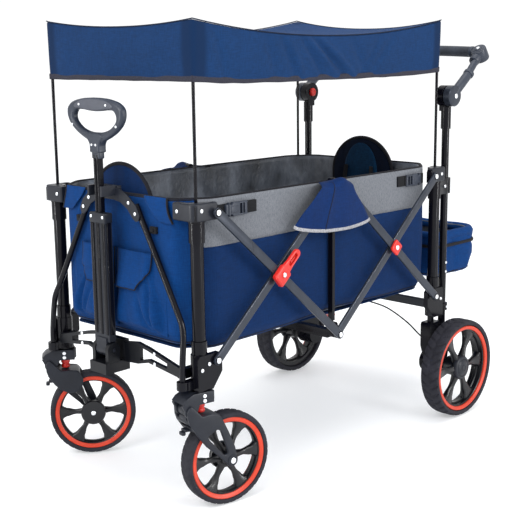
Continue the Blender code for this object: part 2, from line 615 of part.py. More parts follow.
def pull_handle():
    housing_low = 0.3365
    foot = arc((PULL_Y, PULL_PIVOT_Z), 0.0150, 150, 390, 12) + [(-0.4600, 0.3450), (-0.4840, 0.3450)]
    solids = [box((-0.0250, -0.4810, housing_low), (0.0250, -0.4630, 0.6150)),
              plate(foot, -0.0170, 0.0170)]
    slot = box((-0.0101, -0.4776, 0.3500), (0.0101, -0.4664, 0.7000))
    cutters = [slot]
    for groove_x in (0.0125, -0.0125):
        cutters.append(box((groove_x - 0.0010, -0.4950, 0.3700), (groove_x + 0.0010, -0.4798, 0.6250)))
    axle = rod((-0.0285, PULL_Y, PULL_PIVOT_Z), (0.0285, PULL_Y, PULL_PIVOT_Z), 0.0040)
    solids.append(axle)
    part("pull_handle_housing", PLASTIC, solids, cutters, origin=(0, PULL_Y, PULL_PIVOT_Z))
    part("pull_handle_tube", BLACK_METAL,
         [box((-0.0095, -0.4770, 0.3600), (0.0095, -0.4670, 0.7420))],
         [box((-0.0010, -0.4900, 0.3700), (0.0010, -0.4762, 0.7380))], origin=(0, PULL_Y, 0.600))
    right = [(0.0150, 0.7560), (0.0240, 0.7650), (0.0440, 0.7750), (0.0640, 0.7855), (0.0810, 0.7992),
             (0.0895, 0.8124), (0.0925, 0.8248), (0.0890, 0.8370), (0.0740, 0.8470), (0.0450, 0.8535),
             (0.0150, 0.8560)]
    hole = [(0.0150, 0.7850), (0.0380, 0.7895), (0.0530, 0.7955), (0.0670, 0.8060), (0.0715, 0.8150),
            (0.0690, 0.8235), (0.0600, 0.8305), (0.0400, 0.8310), (0.0150, 0.8290)]
    part("pull_handle_grip", PLASTIC,
         [plate(right + [(-x, z) for x, z in reversed(right)], -0.4805, -0.4635, "XZ"),
          box((-0.0150, -0.4825, 0.7425), (0.0150, -0.4615, 0.7680)),
          box((-0.0122, -0.4790, 0.7300), (0.0122, -0.4650, 0.7460))],
         [plate(hole + [(-x, z) for x, z in reversed(hole)], -0.5200, -0.4200, "XZ"),
          box((-0.0099, -0.4774, 0.7200), (0.0099, -0.4666, 0.7424))],
         origin=(0, PULL_Y, 0.729), bevel=0.003)


# ---------------------------------------------------------------- push handle
def push_handle():
    bar = []
    for side, sign in SIDES:
        post = (POST_X, PUSH_Y)
        hub = (PUSH_Y, PUSH_HUB_Z)
        part("push_post_" + side, BLACK_METAL,
             [rod((*post, 0.2050), (*post, 0.7600), PUSH_R),
              rod((*post, 0.7450), (*post, 0.8008), 0.0130),
              box((0.2200, PUSH_Y - 0.0110, 0.7900), (0.2380, PUSH_Y + 0.0110, 0.8150)),
              rod((0.2190, *hub), (0.2385, *hub), PUSH_HUB_R, 20)],
             [rod((0.2000, *hub), (0.2290, *hub), 0.0124, 16)], sign=sign,
             origin=(sign * POST_X, PUSH_Y, PUSH_HUB_Z))
        part("push_button_" + side, RED, [rod((0.2130, *hub), (0.2245, *hub), 0.0112, 16)],
             sign=sign, origin=(sign * 0.2130, *hub))
        slope = Vector((0.0, GRIP_Y - PUSH_Y, GRIP_Z - PUSH_HUB_Z)).normalized()
        start = Vector((0.2515, *hub))
        corner = Vector((0.2400, GRIP_Y, GRIP_Z))
        line = corner - start
        knee = start + Vector((0.0, line.y, line.z)) * 0.52
        bar.append(flipped(rod((0.2391, *hub), (0.2620, *hub), PUSH_HUB_R, 20), sign))
        bar.append(flipped(rod(start, knee, 0.0120), sign))
        bar.append(flipped(rod(knee - slope * 0.010, corner, 0.0090), sign))
        lift = Vector((0.0, -slope.z, slope.y))
        bar.append(flipped(rod(corner - lift * 0.019, corner + lift * 0.015, 0.0200, 14), sign))
        bar.append(flipped(rod(corner - slope * 0.036, corner, 0.0135), sign))
    rise = 0.0035
    grip = [(x, GRIP_Y + 0.010 * (1 - (x / 0.225) ** 2), GRIP_Z + rise)
            for x in (-0.225, -0.16, -0.08, 0.08, 0.16, 0.225)]
    bar.insert(0, bent_rod(grip, 0.0135))
    part("push_bar", PLASTIC, bar, origin=(0, PUSH_Y, PUSH_HUB_Z))


# ---------------------------------------------------------------- rear frame and brake
def rear_frame():
    part("rear_lower_beam", PLASTIC,
         [box((-0.2140, 0.4140, 0.2780), (0.2140, 0.4250, 0.3000)),
          box((-0.0280, 0.4080, 0.2700), (0.0280, 0.4300, 0.3080))], origin=(0, 0.4200, 0.290))
    hinge = (0.4740, 0.1640)
    tread = [(0.5200, 0.1540), (0.5450, 0.1620), (0.5450, 0.1660), (0.5180, 0.1680)]
    pedal = arc(hinge, 0.0080, 90, 270, 6) + tread
    lever = [(0.4830, 0.1700), (0.4830, 0.1590)] + tread
    part("brake_pedal", RED, [plate(pedal, 0.2435, 0.2520), plate(lever, 0.2060, 0.2520)],
         sign=-1, origin=(-0.2435, *hinge))
    end_x = 0.2116
    knots = [(-end_x, 0.4050, 0.2000), (-0.1980, 0.4050, 0.2070), (-0.1600, 0.4040, 0.2330),
             (-0.1000, 0.4020, 0.2600), (-0.0450, 0.4010, 0.2690), (0.0, 0.4010, 0.2700),
             (0.0450, 0.4010, 0.2690), (0.1000, 0.4020, 0.2600), (0.1600, 0.4040, 0.2330),
             (0.1980, 0.4050, 0.2070), (end_x, 0.4050, 0.2000)]
    part("brake_cable", CABLE, [bent_rod(smooth_line(knots, 2), 0.0016)], origin=(0, 0.401, 0.270))


# ---------------------------------------------------------------- soft pieces
def basket():
    outer = [box((-SIDE_X, -SIDE_Y, FLOOR_Z), (SIDE_X, SIDE_Y, RIM_Z)),
             box((-END_X, -END_Y, FLOOR_Z), (END_X, END_Y, RIM_Z))]
    inside_low = FLOOR_Z + 0.008
    inner = [box((-SIDE_X + WALL, -SIDE_Y + WALL, inside_low), (SIDE_X - WALL, SIDE_Y - WALL, 0.70)),
             box((-END_X + WALL, -END_Y + WALL, inside_low), (END_X - WALL, END_Y - WALL, 0.70))]
    part("basket", NAVY, outer, inner, origin=(0, -END_Y, RIM_Z))
    crown = [(x, 0.6200 + 0.95 * (z - 0.6200)) for x, z in arc((0, 0.6200), 0.1000, 0, 180, 12)]
    arch = [(-0.0900, 0.3600), (0.0900, 0.3600)] + crown
    for name, low, high in (("seat_back_front", -0.4215, -0.4015), ("seat_back_rear", 0.4015, 0.4215)):
        part(name, NAVY, [plate(arch, low, high, "XZ")], origin=(0, low, 0.3600))


def canopy():
    """Sagging top sheet with four hanging sides, open below."""
    count_x = 4
    count_y = 8
    bm = bmesh.new()
    rows = []
    for j in range(count_y + 1):
        row = []
        for i in range(count_x + 1):
            u = 2 * i / count_x - 1
            v = 2 * j / count_y - 1
            sag = CANOPY_SAG * (1 - u ** 2) * 0.55 + CANOPY_SAG * (1 - v ** 2) * 0.75
            row.append(bm.verts.new((u * CANOPY_X, v * CANOPY_Y, CANOPY_HIGH - sag)))
        rows.append(row)
    for j in range(count_y):
        for i in range(count_x):
            bm.faces.new((rows[j][i], rows[j][i + 1], rows[j + 1][i + 1], rows[j + 1][i]))
    edge = (rows[0] + [row[-1] for row in rows[1:]] + rows[-1][-2::-1]
            + [row[0] for row in rows[-2:0:-1]])
    low = [bm.verts.new((v.co.x, v.co.y, CANOPY_LOW)) for v in edge]
    for k in range(len(edge)):
        after = (k + 1) % len(edge)
        bm.faces.new((edge[k], low[k], low[after], edge[after]))
    bmesh.ops.recalc_face_normals(bm, faces=bm.faces)
    sheet = from_bmesh("canopy", bm)
    thick = sheet.modifiers.new("cloth", "SOLIDIFY")
    thick.thickness = 0.0024
    thick.offset = 1.0
    part("canopy", NAVY, [sheet], origin=(0, -CANOPY_Y, CANOPY_HIGH))


def canopy_poles():
    ends = (("front", -POST_Y), ("rear", POST_Y))
    for side, sign in SIDES:
        for end, y in ends:
            pole = rod((POST_X, y, 0.5600), (POST_X, y, CANOPY_HIGH - 0.0080), POLE_R, 8)
            part("canopy_pole_" + end + "_" + side, BLACK_METAL, [pole],
                 sign=sign, origin=(sign * POST_X, y, BRACKET_HIGH))


def rear_bag():
    """Open-topped bag with a rolled rim, hung behind the basket."""
    outer = [(-0.1850, 0.4840), (0.1850, 0.4840), (0.2000, 0.5000), (0.2000, 0.6550),
             (0.1700, 0.6900), (-0.1700, 0.6900), (-0.2000, 0.6550), (-0.2000, 0.5000)]
    inner = [(x * 0.93, 0.5870 + (y - 0.5870) * 0.88) for x, y in outer]
    part("rear_bag", BLUE, [plate(outer, 0.3400, 0.4650, "XY")],
         [plate(inner, 0.3480, 0.5000, "XY")], origin=(0, 0.4840, 0.4650))


# ---------------------------------------------------------------- the whole wagon
for wagon_side, wagon_sign in SIDES:
    scissor_side(wagon_side, wagon_sign)
    front_lower_bracket(wagon_side, wagon_sign)
    rear_lower_bracket(wagon_side, wagon_sign)
    upper_bracket("front_upper_bracket_" + wagon_side, wagon_sign, -1, False)
    upper_bracket("rear_upper_bracket_" + wagon_side, wagon_sign, 1, True)
    rear_wheel(wagon_side, wagon_sign)
    caster(wagon_side, wagon_sign)
mid_floor_beam()
front_hubs_and_tubes()
pull_handle()
push_handle()
rear_frame()
basket()
canopy()
canopy_poles()
rear_bag()
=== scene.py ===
"""Looks of the folding kids' pull wagon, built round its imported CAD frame.

Lengths are metres. Every place is given from the middle of the basket, so y = 0 is half way
between the corner posts; at() turns such a place into the frame's own coordinates.
"""
import json
import math

import bmesh
import bpy
from mathutils import Matrix, Vector, noise

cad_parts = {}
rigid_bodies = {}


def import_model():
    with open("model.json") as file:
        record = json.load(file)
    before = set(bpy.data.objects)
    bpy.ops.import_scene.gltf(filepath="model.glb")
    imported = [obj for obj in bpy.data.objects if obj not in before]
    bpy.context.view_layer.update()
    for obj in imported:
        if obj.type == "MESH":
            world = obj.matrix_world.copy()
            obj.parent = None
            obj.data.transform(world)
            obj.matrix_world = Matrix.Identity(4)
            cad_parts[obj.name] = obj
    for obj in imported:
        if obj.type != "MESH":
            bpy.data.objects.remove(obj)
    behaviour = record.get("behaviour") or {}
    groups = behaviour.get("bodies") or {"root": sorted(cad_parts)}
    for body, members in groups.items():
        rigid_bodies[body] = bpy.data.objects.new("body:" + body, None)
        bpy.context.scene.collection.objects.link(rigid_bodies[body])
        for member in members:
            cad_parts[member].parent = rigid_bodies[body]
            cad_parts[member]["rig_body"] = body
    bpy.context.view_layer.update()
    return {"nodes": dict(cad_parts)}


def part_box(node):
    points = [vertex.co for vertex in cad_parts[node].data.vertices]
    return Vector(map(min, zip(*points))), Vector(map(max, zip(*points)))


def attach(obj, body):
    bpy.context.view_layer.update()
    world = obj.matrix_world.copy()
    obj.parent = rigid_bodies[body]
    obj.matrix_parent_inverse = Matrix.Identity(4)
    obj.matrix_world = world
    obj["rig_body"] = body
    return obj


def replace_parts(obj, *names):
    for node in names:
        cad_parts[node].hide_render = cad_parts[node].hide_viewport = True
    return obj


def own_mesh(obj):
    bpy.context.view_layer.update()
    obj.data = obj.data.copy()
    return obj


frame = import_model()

SCENE = bpy.context.scene
BASKET_LOW, BASKET_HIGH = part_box("basket")
BASE_Y = (BASKET_LOW.y + BASKET_HIGH.y) / 2
SIDES = (("R", 1), ("L", -1))
ENDS = (("front", -1), ("rear", 1))
# the wagon's length: the up direction of trims that run down a face
FORE_AFT = Vector((0, 1, 0))


def at(x, y, z):
    """A place given from the middle of the basket, in the frame's coordinates."""
    return Vector((x, y + BASE_Y, z))


def srgb(red, green, blue):
    """Linear colour of an 8-bit screen colour."""
    linear = []
    for value in (red, green, blue):
        v = value / 255
        linear.append(v / 12.92 if v <= 0.04045 else ((v + 0.055) / 1.055) ** 2.4)
    return (*linear, 1.0)


def clamp(value, low=0.0, high=1.0):
    return max(low, min(high, value))


def smooth(low, high, value):
    """Smooth step from 0 at low to 1 at high."""
    t = clamp((value - low) / (high - low))
    return t * t * (3 - 2 * t)


def table(value, pairs):
    """Smooth interpolation through (value, result) pairs."""
    if value <= pairs[0][0]:
        return pairs[0][1]
    for (a, first), (b, second) in zip(pairs, pairs[1:]):
        if value <= b:
            return first + (second - first) * smooth(a, b, value)
    return pairs[-1][1]


def ripple(point, scale, seed):
    """Smooth noise from -1 to 1; scale holds the waves per metre along each axis."""
    place = Vector((point[0] * scale[0], point[1] * scale[1], point[2] * scale[2] + seed))
    return noise.noise(place)


# ------------------------------------------------------------------ camera, floor and light
CAMERA_PLACE = at(1.7888, -1.8338, 0.9553)
CAMERA_YAW = 44.12
CAMERA_PITCH = -11.35
CAMERA_ROLL = -0.67
FOCAL_PIXELS = 1061.85
FRAME_PIXELS = 520
SENSOR = 36.0


def make_camera():
    """The photo's own view."""
    data = bpy.data.cameras.new("camera")
    data.sensor_width = SENSOR
    data.lens = FOCAL_PIXELS * SENSOR / FRAME_PIXELS
    camera = bpy.data.objects.new("camera", data)
    SCENE.collection.objects.link(camera)
    turn = (Matrix.Rotation(math.radians(CAMERA_YAW), 4, "Z")
            @ Matrix.Rotation(math.radians(90 + CAMERA_PITCH), 4, "X")
            @ Matrix.Rotation(math.radians(CAMERA_ROLL), 4, "Z"))
    camera.matrix_world = Matrix.Translation(CAMERA_PLACE) @ turn
    SCENE.camera = camera


def area_light(name, place, target, size, power):
    """A soft rectangular light that faces its target."""
    data = bpy.data.lights.new(name, "AREA")
    data.shape = "RECTANGLE"
    data.size = size[0]
    data.size_y = size[1]
    data.energy = power
    lamp = bpy.data.objects.new(name, data)
    SCENE.collection.objects.link(lamp)
    lamp.location = place
    lamp.rotation_euler = (Vector(target) - Vector(place)).to_track_quat("-Z", "Y").to_euler()
    return lamp


def make_studio():
    """White surroundings, a pale floor, three soft lights and two tall strips that streak the tubes."""
    world = bpy.data.worlds.new("studio")
    SCENE.world = world
    world.use_nodes = True
    world.node_tree.nodes["Background"].inputs["Color"].default_value = (1.0, 1.0, 1.0, 1.0)
    world.node_tree.nodes["Background"].inputs["Strength"].default_value = 1.05
    SCENE.view_settings.view_transform = "Standard"
    bm = bmesh.new()
    bmesh.ops.create_grid(bm, x_segments=2, y_segments=2, size=14.0)
    mesh = bpy.data.meshes.new("studio_floor")
    bm.to_mesh(mesh)
    bm.free()
    floor = bpy.data.objects.new("studio_floor", mesh)
    SCENE.collection.objects.link(floor)
    floor.location = (0, 0, -0.0005)
    mat = bpy.data.materials.new("studio_floor")
    mat.use_nodes = True
    shader = mat.node_tree.nodes["Principled BSDF"]
    shader.inputs["Base Color"].default_value = (0.70, 0.71, 0.72, 1.0)
    shader.inputs["Roughness"].default_value = 0.6
    shader.inputs["Emission Color"].default_value = (0.97, 0.985, 1.0, 1.0)
    shader.inputs["Emission Strength"].default_value = 0.36
    mesh.materials.append(mat)
    middle = (0.0, BASE_Y, 0.45)
    area_light("key", (0.6, -3.2, 2.9), middle, (1.6, 1.2), 62)
    area_light("side", (3.6, -0.3, 2.3), middle, (1.4, 1.4), 58)
    area_light("top", (0.2, 0.2, 3.6), middle, (2.4, 2.4), 50)
    for name, place in (("strip_front", (-0.9, -3.1, 1.1)), ("strip_side", (3.2, 0.9, 1.1))):
        strip = area_light(name, place, middle, (0.14, 2.6), 90)
        strip.visible_diffuse = False


# ------------------------------------------------------------------ materials
class Look:
    """A procedural material: a Principled shader and the nodes that feed it."""

    def __init__(self, name, roughness, metallic=0.0, sheen=0.0, coat=0.0, specular=0.5):
        self.mat = bpy.data.materials.new(name)
        self.mat.use_nodes = True
        self.tree = self.mat.node_tree
        self.shader = self.tree.nodes["Principled BSDF"]
        self.set(self.shader, "Roughness", roughness)
        self.set(self.shader, "Metallic", metallic)
        self.set(self.shader, "Sheen Weight", sheen)
        self.set(self.shader, "Coat Weight", coat)
        self.set(self.shader, "Specular IOR Level", specular)
        self.place = self.node("ShaderNodeTexCoord").outputs["Object"]

    @staticmethod
    def set(node, socket, value):
        node.inputs[socket].default_value = value

    def node(self, kind, **values):
        made = self.tree.nodes.new(kind)
        for key, value in values.items():
            setattr(made, key, value)
        return made

    def link(self, source, node, socket):
        self.tree.links.new(source, node.inputs[socket])

    def stretched(self, scale):
        mapping = self.node("ShaderNodeMapping")
        self.link(self.place, mapping, "Vector")
        mapping.inputs["Scale"].default_value = scale
        return mapping.outputs["Vector"]

    def noise(self, scale, detail=2.0, stretch=(1, 1, 1), roughness=0.5):
        made = self.node("ShaderNodeTexNoise")
        self.link(self.stretched(stretch), made, "Vector")
        self.set(made, "Scale", scale)
        self.set(made, "Detail", detail)
        self.set(made, "Roughness", roughness)
        return made.outputs["Fac"]

    def wave(self, axis, scale):
        made = self.node("ShaderNodeTexWave", wave_type="BANDS", bands_direction=axis)
        self.link(self.place, made, "Vector")
        self.set(made, "Scale", scale)
        self.set(made, "Detail", 0.0)
        return made.outputs["Fac"]

    def math(self, operation, first, second):
        made = self.node("ShaderNodeMath", operation=operation)
        for socket, value in ((0, first), (1, second)):
            if isinstance(value, (int, float)):
                made.inputs[socket].default_value = value
            else:
                self.tree.links.new(value, made.inputs[socket])
        return made.outputs[0]

    def ramp(self, source, stops):
        made = self.node("ShaderNodeValToRGB")
        self.link(source, made, "Fac")
        elements = made.color_ramp.elements
        while len(elements) < len(stops):
            elements.new(0.5)
        for element, (position, colour) in zip(elements, stops):
            element.position = position
            element.color = colour
        return made.outputs["Color"]

    def mix(self, factor, first, second):
        made = self.node("ShaderNodeMix", data_type="RGBA", blend_type="MIX")
        self.tree.links.new(factor, made.inputs["Factor"])
        for socket, value in ((6, first), (7, second)):
            if isinstance(value, tuple):
                made.inputs[socket].default_value = value
            else:
                self.tree.links.new(value, made.inputs[socket])
        return made.outputs[2]

    def colour(self, source):
        self.link(source, self.shader, "Base Color")

    def rough(self, source, low, high):
        made = self.node("ShaderNodeMapRange")
        self.link(source, made, "Value")
        self.set(made, "To Min", low)
        self.set(made, "To Max", high)
        self.link(made.outputs["Result"], self.shader, "Roughness")

    def bump(self, source, strength, distance):
        made = self.node("ShaderNodeBump")
        self.set(made, "Strength", strength)
        self.set(made, "Distance", distance)
        self.link(source, made, "Height")
        self.link(made.outputs["Normal"], self.shader, "Normal")


def shade(colour, factor):
    """The same colour, darker or lighter."""
    return (*[min(1.0, c * factor) for c in colour[:3]], 1.0)


def fabric_look(name, colour, contrast=0.35, pitch=0.0013, corner=False):
    """Oxford weave: crossed threads, slubs along both directions, and a faint cloudiness; with corner set,
    painted shade near the canopy's upright corners.
    """
    rough = 0.85
    look = Look(name, rough, sheen=0.02, specular=0.08)
    threads = 0.31 / pitch
    weave = look.math("MULTIPLY", look.wave("X", threads), 0.34)
    for axis in "YZ":
        weave = look.math("ADD", weave, look.math("MULTIPLY", look.wave(axis, threads), 0.33))
    slub_up = look.noise(520, 2.0, (1.0, 1.0, 0.12))
    slub_across = look.noise(520, 2.0, (0.12, 0.12, 1.0))
    heather = look.math("ADD", look.math("MULTIPLY", slub_up, 0.5),
                        look.math("MULTIPLY", slub_across, 0.5))
    speckled = look.ramp(heather, ((0.34, shade(colour, 1 - contrast)), (0.5, colour),
                                   (0.66, shade(colour, 1 + contrast))))
    cloud = look.ramp(look.noise(7, 3.0), ((0.3, shade(colour, 0.86)), (0.7, shade(colour, 1.12))))
    cloth = look.mix(look.math("ADD", look.math("MULTIPLY", weave, 0.25), 0.25), speckled, cloud)
    # painted shade: the cloth darkens towards 0.62 of its colour near the canopy's upright corners
    if corner:
        cloth = look.mix(corner_shade_mask(look), cloth, shade(colour, 0.62))
    look.colour(cloth)
    look.rough(heather, rough - 0.08, rough + 0.08)
    look.bump(look.math("ADD", weave, look.math("MULTIPLY", heather, 0.6)), 0.55, 0.0004)
    return look.mat


def corner_shade_mask(look):
    """Mask of painted shade: 1 near the canopy's upright corners, where the pole pockets lie behind the
    cloth.
    """
    split = look.node("ShaderNodeSeparateXYZ")
    look.link(look.place, split, "Vector")
    across = look.math("ABSOLUTE", split.outputs["X"], 0.0)
    along = look.math("ABSOLUTE", look.math("SUBTRACT", split.outputs["Y"], BASE_Y), 0.0)
    near_x = look.ramp(across, ((0.204, (0, 0, 0, 1)), (0.216, (1, 1, 1, 1))))
    near_y = look.ramp(along, ((0.378, (0, 0, 0, 1)), (0.390, (1, 1, 1, 1))))
    return look.math("MULTIPLY", near_x, near_y)


def heather_look(name, light, dark):
    """Melange cloth: light and dark fibres spun together."""
    look = Look(name, 0.9, sheen=0.05, specular=0.1)
    fine = look.noise(900, 4.0, (1.0, 1.0, 0.6), 0.7)
    streak = look.noise(420, 3.0, (1.0, 1.0, 0.35), 0.6)
    blend = look.math("ADD", look.math("MULTIPLY", fine, 0.6), look.math("MULTIPLY", streak, 0.4))
    look.colour(look.ramp(blend, ((0.38, dark), (0.52, light), (0.64, shade(light, 1.15)))))
    look.rough(fine, 0.82, 0.98)
    look.bump(blend, 0.5, 0.0004)
    return look.mat


def lining_look():
    """Thin coated nylon, creased, with a dull gloss on the folds; its colour is painted shade in the crease
    hollows and painted light on the fold tops.
    """
    look = Look("lining_nylon", 0.40, specular=0.45)
    crease_and_shade = look.noise(13, 5.0, (1.0, 1.0, 0.6), 0.62)
    grid = look.math("ADD", look.wave("Y", 150), look.math("ADD", look.wave("Z", 150),
                                                         look.wave("X", 150)))
    # painted shade in the crease hollows and painted light on the fold tops, from the same field as the bump
    look.colour(look.ramp(crease_and_shade, ((0.32, srgb(40, 44, 51)), (0.52, srgb(74, 80, 90)),
                                   (0.70, srgb(112, 119, 130)))))
    look.rough(crease_and_shade, 0.34, 0.58)
    look.bump(look.math("ADD", crease_and_shade, look.math("MULTIPLY", grid, 0.02)), 0.85, 0.009)
    return look.mat


def webbing_look(name, colour):
    """Woven tape: ribs across and a dusty, uneven colour."""
    look = Look(name, 0.75, sheen=0.03, specular=0.12)
    ribs = look.math("ADD", look.wave("Z", 160), look.math("ADD", look.wave("X", 160),
                                                         look.wave("Y", 160)))
    dust = look.noise(300, 3.0)
    look.colour(look.ramp(dust, ((0.3, shade(colour, 0.7)), (0.7, shade(colour, 1.3)))))
    look.rough(dust, 0.65, 0.88)
    look.bump(ribs, 0.5, 0.0005)
    return look.mat


def moulded_look(name, colour, rough, grain=900, specular=0.5, scuffs=0.25):
    """Moulded plastic with a spark-eroded grain and a few paler scuffs."""
    look = Look(name, rough, specular=specular)
    fine = look.noise(grain, 2.0)
    flow = look.noise(24, 4.0, roughness=0.6)
    scuff = look.ramp(look.noise(55, 6.0, (1.0, 1.0, 0.3), 0.7),
                      ((0.60, (0, 0, 0, 1)), (0.74, (scuffs, scuffs, scuffs, 1))))
    base = look.ramp(flow, ((0.3, shade(colour, 0.86)), (0.7, shade(colour, 1.14))))
    look.colour(look.mix(scuff, base, shade(colour, 1.9)))
    look.rough(flow, rough - 0.07, rough + 0.09)
    look.bump(fine, 0.22, 0.00035)
    return look.mat


def painted_look(name, colour, rough, metallic, coat, specular):
    """Powder-coated metal: orange-peel surface and rubbed streaks."""
    look = Look(name, rough, metallic=metallic, coat=coat, specular=specular)
    peel = look.noise(420, 2.0)
    rub = look.noise(36, 5.0, (1.0, 1.0, 0.2), 0.65)
    look.colour(look.ramp(rub, ((0.25, shade(colour, 0.82)), (0.55, colour),
                                (0.80, shade(colour, 1.45)))))
    look.rough(rub, rough - 0.07, rough + 0.12)
    look.bump(peel, 0.16, 0.0003)
    return look.mat


def rubber_look():
    """Matt black rubber with patches of dust."""
    look = Look("tyre_rubber", 0.78, specular=0.22)
    pores = look.noise(700, 3.0)
    dust = look.noise(30, 5.0, roughness=0.7)
    look.colour(look.ramp(dust, ((0.3, srgb(26, 26, 33)), (0.6, srgb(37, 37, 45)),
                                 (0.8, srgb(56, 55, 64)))))
    look.rough(dust, 0.68, 0.9)
    look.bump(pores, 0.35, 0.0004)
    return look.mat


def metal_look(name, colour, rough):
    """Bare turned metal."""
    look = Look(name, rough, metallic=1.0)
    turned = look.noise(300, 4.0, roughness=0.7)
    look.colour(look.ramp(turned, ((0.3, shade(colour, 0.8)), (0.7, shade(colour, 1.15)))))
    look.rough(turned, rough - 0.08, rough + 0.12)
    look.bump(turned, 0.12, 0.0002)
    return look.mat


def foam_look():
    """Closed-cell foam sleeve with a fine skin."""
    look = Look("foam_sleeve", 0.82, sheen=0.1, specular=0.3)
    cells = look.node("ShaderNodeTexVoronoi")
    look.link(look.place, cells, "Vector")
    look.set(cells, "Scale", 650)
    fade = look.noise(20, 4.0)
    look.colour(look.ramp(fade, ((0.3, srgb(32, 36, 44)), (0.7, srgb(50, 56, 66)))))
    look.rough(fade, 0.75, 0.9)
    look.bump(cells.outputs["Distance"], 0.3, 0.0004)
    return look.mat


# one oxford cloth in two copies: this darker navy copy is painted shade, for the shaded sides, the seat
# backs' shells and the underside
OXFORD_SHADED = fabric_look("oxford_shaded_copy", srgb(7, 37, 78))
# corner=True paints shade near the canopy's upright corners
CANOPY_CLOTH = fabric_look("canopy_oxford", srgb(17, 48, 88), corner=True)
# the lighter blue copy of the same cloth is painted light, for the lit front, its pockets and tabs, and the
# rear bag
OXFORD_LIT = fabric_look("oxford_lit_copy", srgb(5, 52, 106))
PIPING = webbing_look("navy_piping", srgb(10, 24, 48))
GRIP_RUBBER = moulded_look("grip_insert", srgb(56, 60, 72), 0.5, 1400)
SEAT_CLOTH = fabric_look("seat_shell", srgb(6, 17, 36))
FLAP_CLOTH = fabric_look("flap_oxford", srgb(10, 37, 82))
GREY_CLOTH = heather_look("grey_melange", srgb(110, 113, 119), srgb(84, 88, 94))
LINING = lining_look()
BINDING = webbing_look("black_binding", srgb(22, 22, 28))
HEM = webbing_look("hem_binding", srgb(46, 46, 57))
STRAP = webbing_look("black_webbing", srgb(18, 19, 23))
REFLECT = webbing_look("reflective_tape", srgb(150, 150, 154))
PLASTIC = moulded_look("charcoal_nylon", srgb(28, 31, 39), 0.38, specular=0.22)
HANDLE_PLASTIC = moulded_look("handle_nylon", srgb(42, 48, 60), 0.40, specular=0.30)
DARK_PLASTIC = moulded_look("black_nylon", srgb(12, 14, 19), 0.36, specular=0.20)
SPOKE_PLASTIC = moulded_look("spoke_nylon", srgb(14, 15, 20), 0.28, specular=0.35)
RED = moulded_look("signal_red", srgb(202, 40, 32), 0.36, specular=0.35, scuffs=0.12)
ORANGE = moulded_look("ring_orange", srgb(196, 58, 34), 0.42, specular=0.30, scuffs=0.1)
BLACK_METAL = painted_look("black_powder_coat", srgb(9, 9, 16), 0.18, 0.0, 0.06, 0.13)
GREY_METAL = painted_look("grey_powder_coat", srgb(44, 49, 59), 0.28, 0.35, 0.10, 0.30)
RUBBER = rubber_look()
STEEL = metal_look("zinc_rivet", srgb(226, 229, 233), 0.3)
FOAM = foam_look()
MESH_CLOTH = fabric_look("seat_mesh", srgb(8, 44, 72), 0.5, 0.0022)


# ------------------------------------------------------------------ making pieces
def new_piece(name, mesh, mat):
    """An object in the scene with one material."""
    obj = bpy.data.objects.new(name, mesh)
    SCENE.collection.objects.link(obj)
    mesh.materials.clear()
    mesh.materials.append(mat)
    return obj


def settle(obj, body):
    """Gives a piece its body."""
    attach(obj, body)
    return obj


def fold_up(*pieces):
    """Gives each cloth piece its own copy of its mesh."""
    for piece in pieces:
        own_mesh(piece)


def thicken(obj, thick):
    """Gives a sheet its thickness, half to each side."""
    shell = obj.modifiers.new("cloth", "SOLIDIFY")
    shell.thickness = thick
    shell.offset = 0.0


def mesh_piece(name, points, faces, mat, body, thick=0.0, levels=0):
    """A mesh piece that rides on a body; a sheet gets its thickness and a finer surface."""
    mesh = bpy.data.meshes.new(name)
    mesh.from_pydata([tuple(p) for p in points], [], faces)
    mesh.update()
    mesh.shade_smooth()
    obj = new_piece(name, mesh, mat)
    if levels:
        fine = obj.modifiers.new("fine", "SUBSURF")
        fine.levels = levels
        fine.render_levels = levels
    if thick:
        thicken(obj, thick)
    return settle(obj, body)


def grid_faces(rows, columns, wrap=False):
    """Quads between the points of a grid, row by row; wrap closes each row."""
    faces = []
    for j in range(rows - 1):
        for i in range(columns if wrap else columns - 1):
            k = (i + 1) % columns
            faces.append((j * columns + i, j * columns + k, (j + 1) * columns + k, (j + 1) * columns + i))
    return faces


def side_faces(rows, columns, sign):
    """Faces of a sheet's grid, turned outward on either side of the wagon."""
    faces = grid_faces(rows, columns)
    return [tuple(reversed(face)) for face in faces] if sign > 0 else faces


def sweep(points, section, closed, up):
    """Carries a closed section of (out, up) offsets along a line; returns points and faces."""
    count = len(points)
    verts = []
    for k, point in enumerate(points):
        before = points[(k - 1) % count] if closed or k else points[k]
        after = points[(k + 1) % count] if closed or k < count - 1 else points[k]
        along = (after - before).normalized()
        out = along.cross(up).normalized()
        rise = out.cross(along).normalized()
        shape = section(k) if callable(section) else section
        verts += [point + out * a + rise * b for a, b in shape]
    size = len(section(0) if callable(section) else section)
    faces = []
    for k in range(count if closed else count - 1):
        m = (k + 1) % count
        for i in range(size):
            n = (i + 1) % size
            faces.append((k * size + i, m * size + i, m * size + n, k * size + n))
    if not closed:
        faces.append(tuple(range(size)))
        faces.append(tuple(reversed(range((count - 1) * size, count * size))))
    return verts, faces


def trim(name, line, section, mat, body, closed=True, up=Vector((0, 0, 1))):
    """Piping, tape, rope or seam: a section carried along a line."""
    verts, faces = sweep(line, section, closed, up)
    return mesh_piece(name, verts, faces, mat, body)


def ring_section(radius, sides):
    """Round section with a number of sides."""
    return [(radius * math.cos(2 * math.pi * k / sides), radius * math.sin(2 * math.pi * k / sides))
            for k in range(sides)]


def tape_section(width, thick):
    """Rounded rectangle, width tall and thick deep."""
    half, deep = width / 2, thick / 2
    soft = deep * 0.8
    return [(-deep, -half + soft), (-deep * 0.4, -half), (deep * 0.4, -half), (deep, -half + soft),
            (deep, half - soft), (deep * 0.4, half), (-deep * 0.4, half), (-deep, half - soft)]


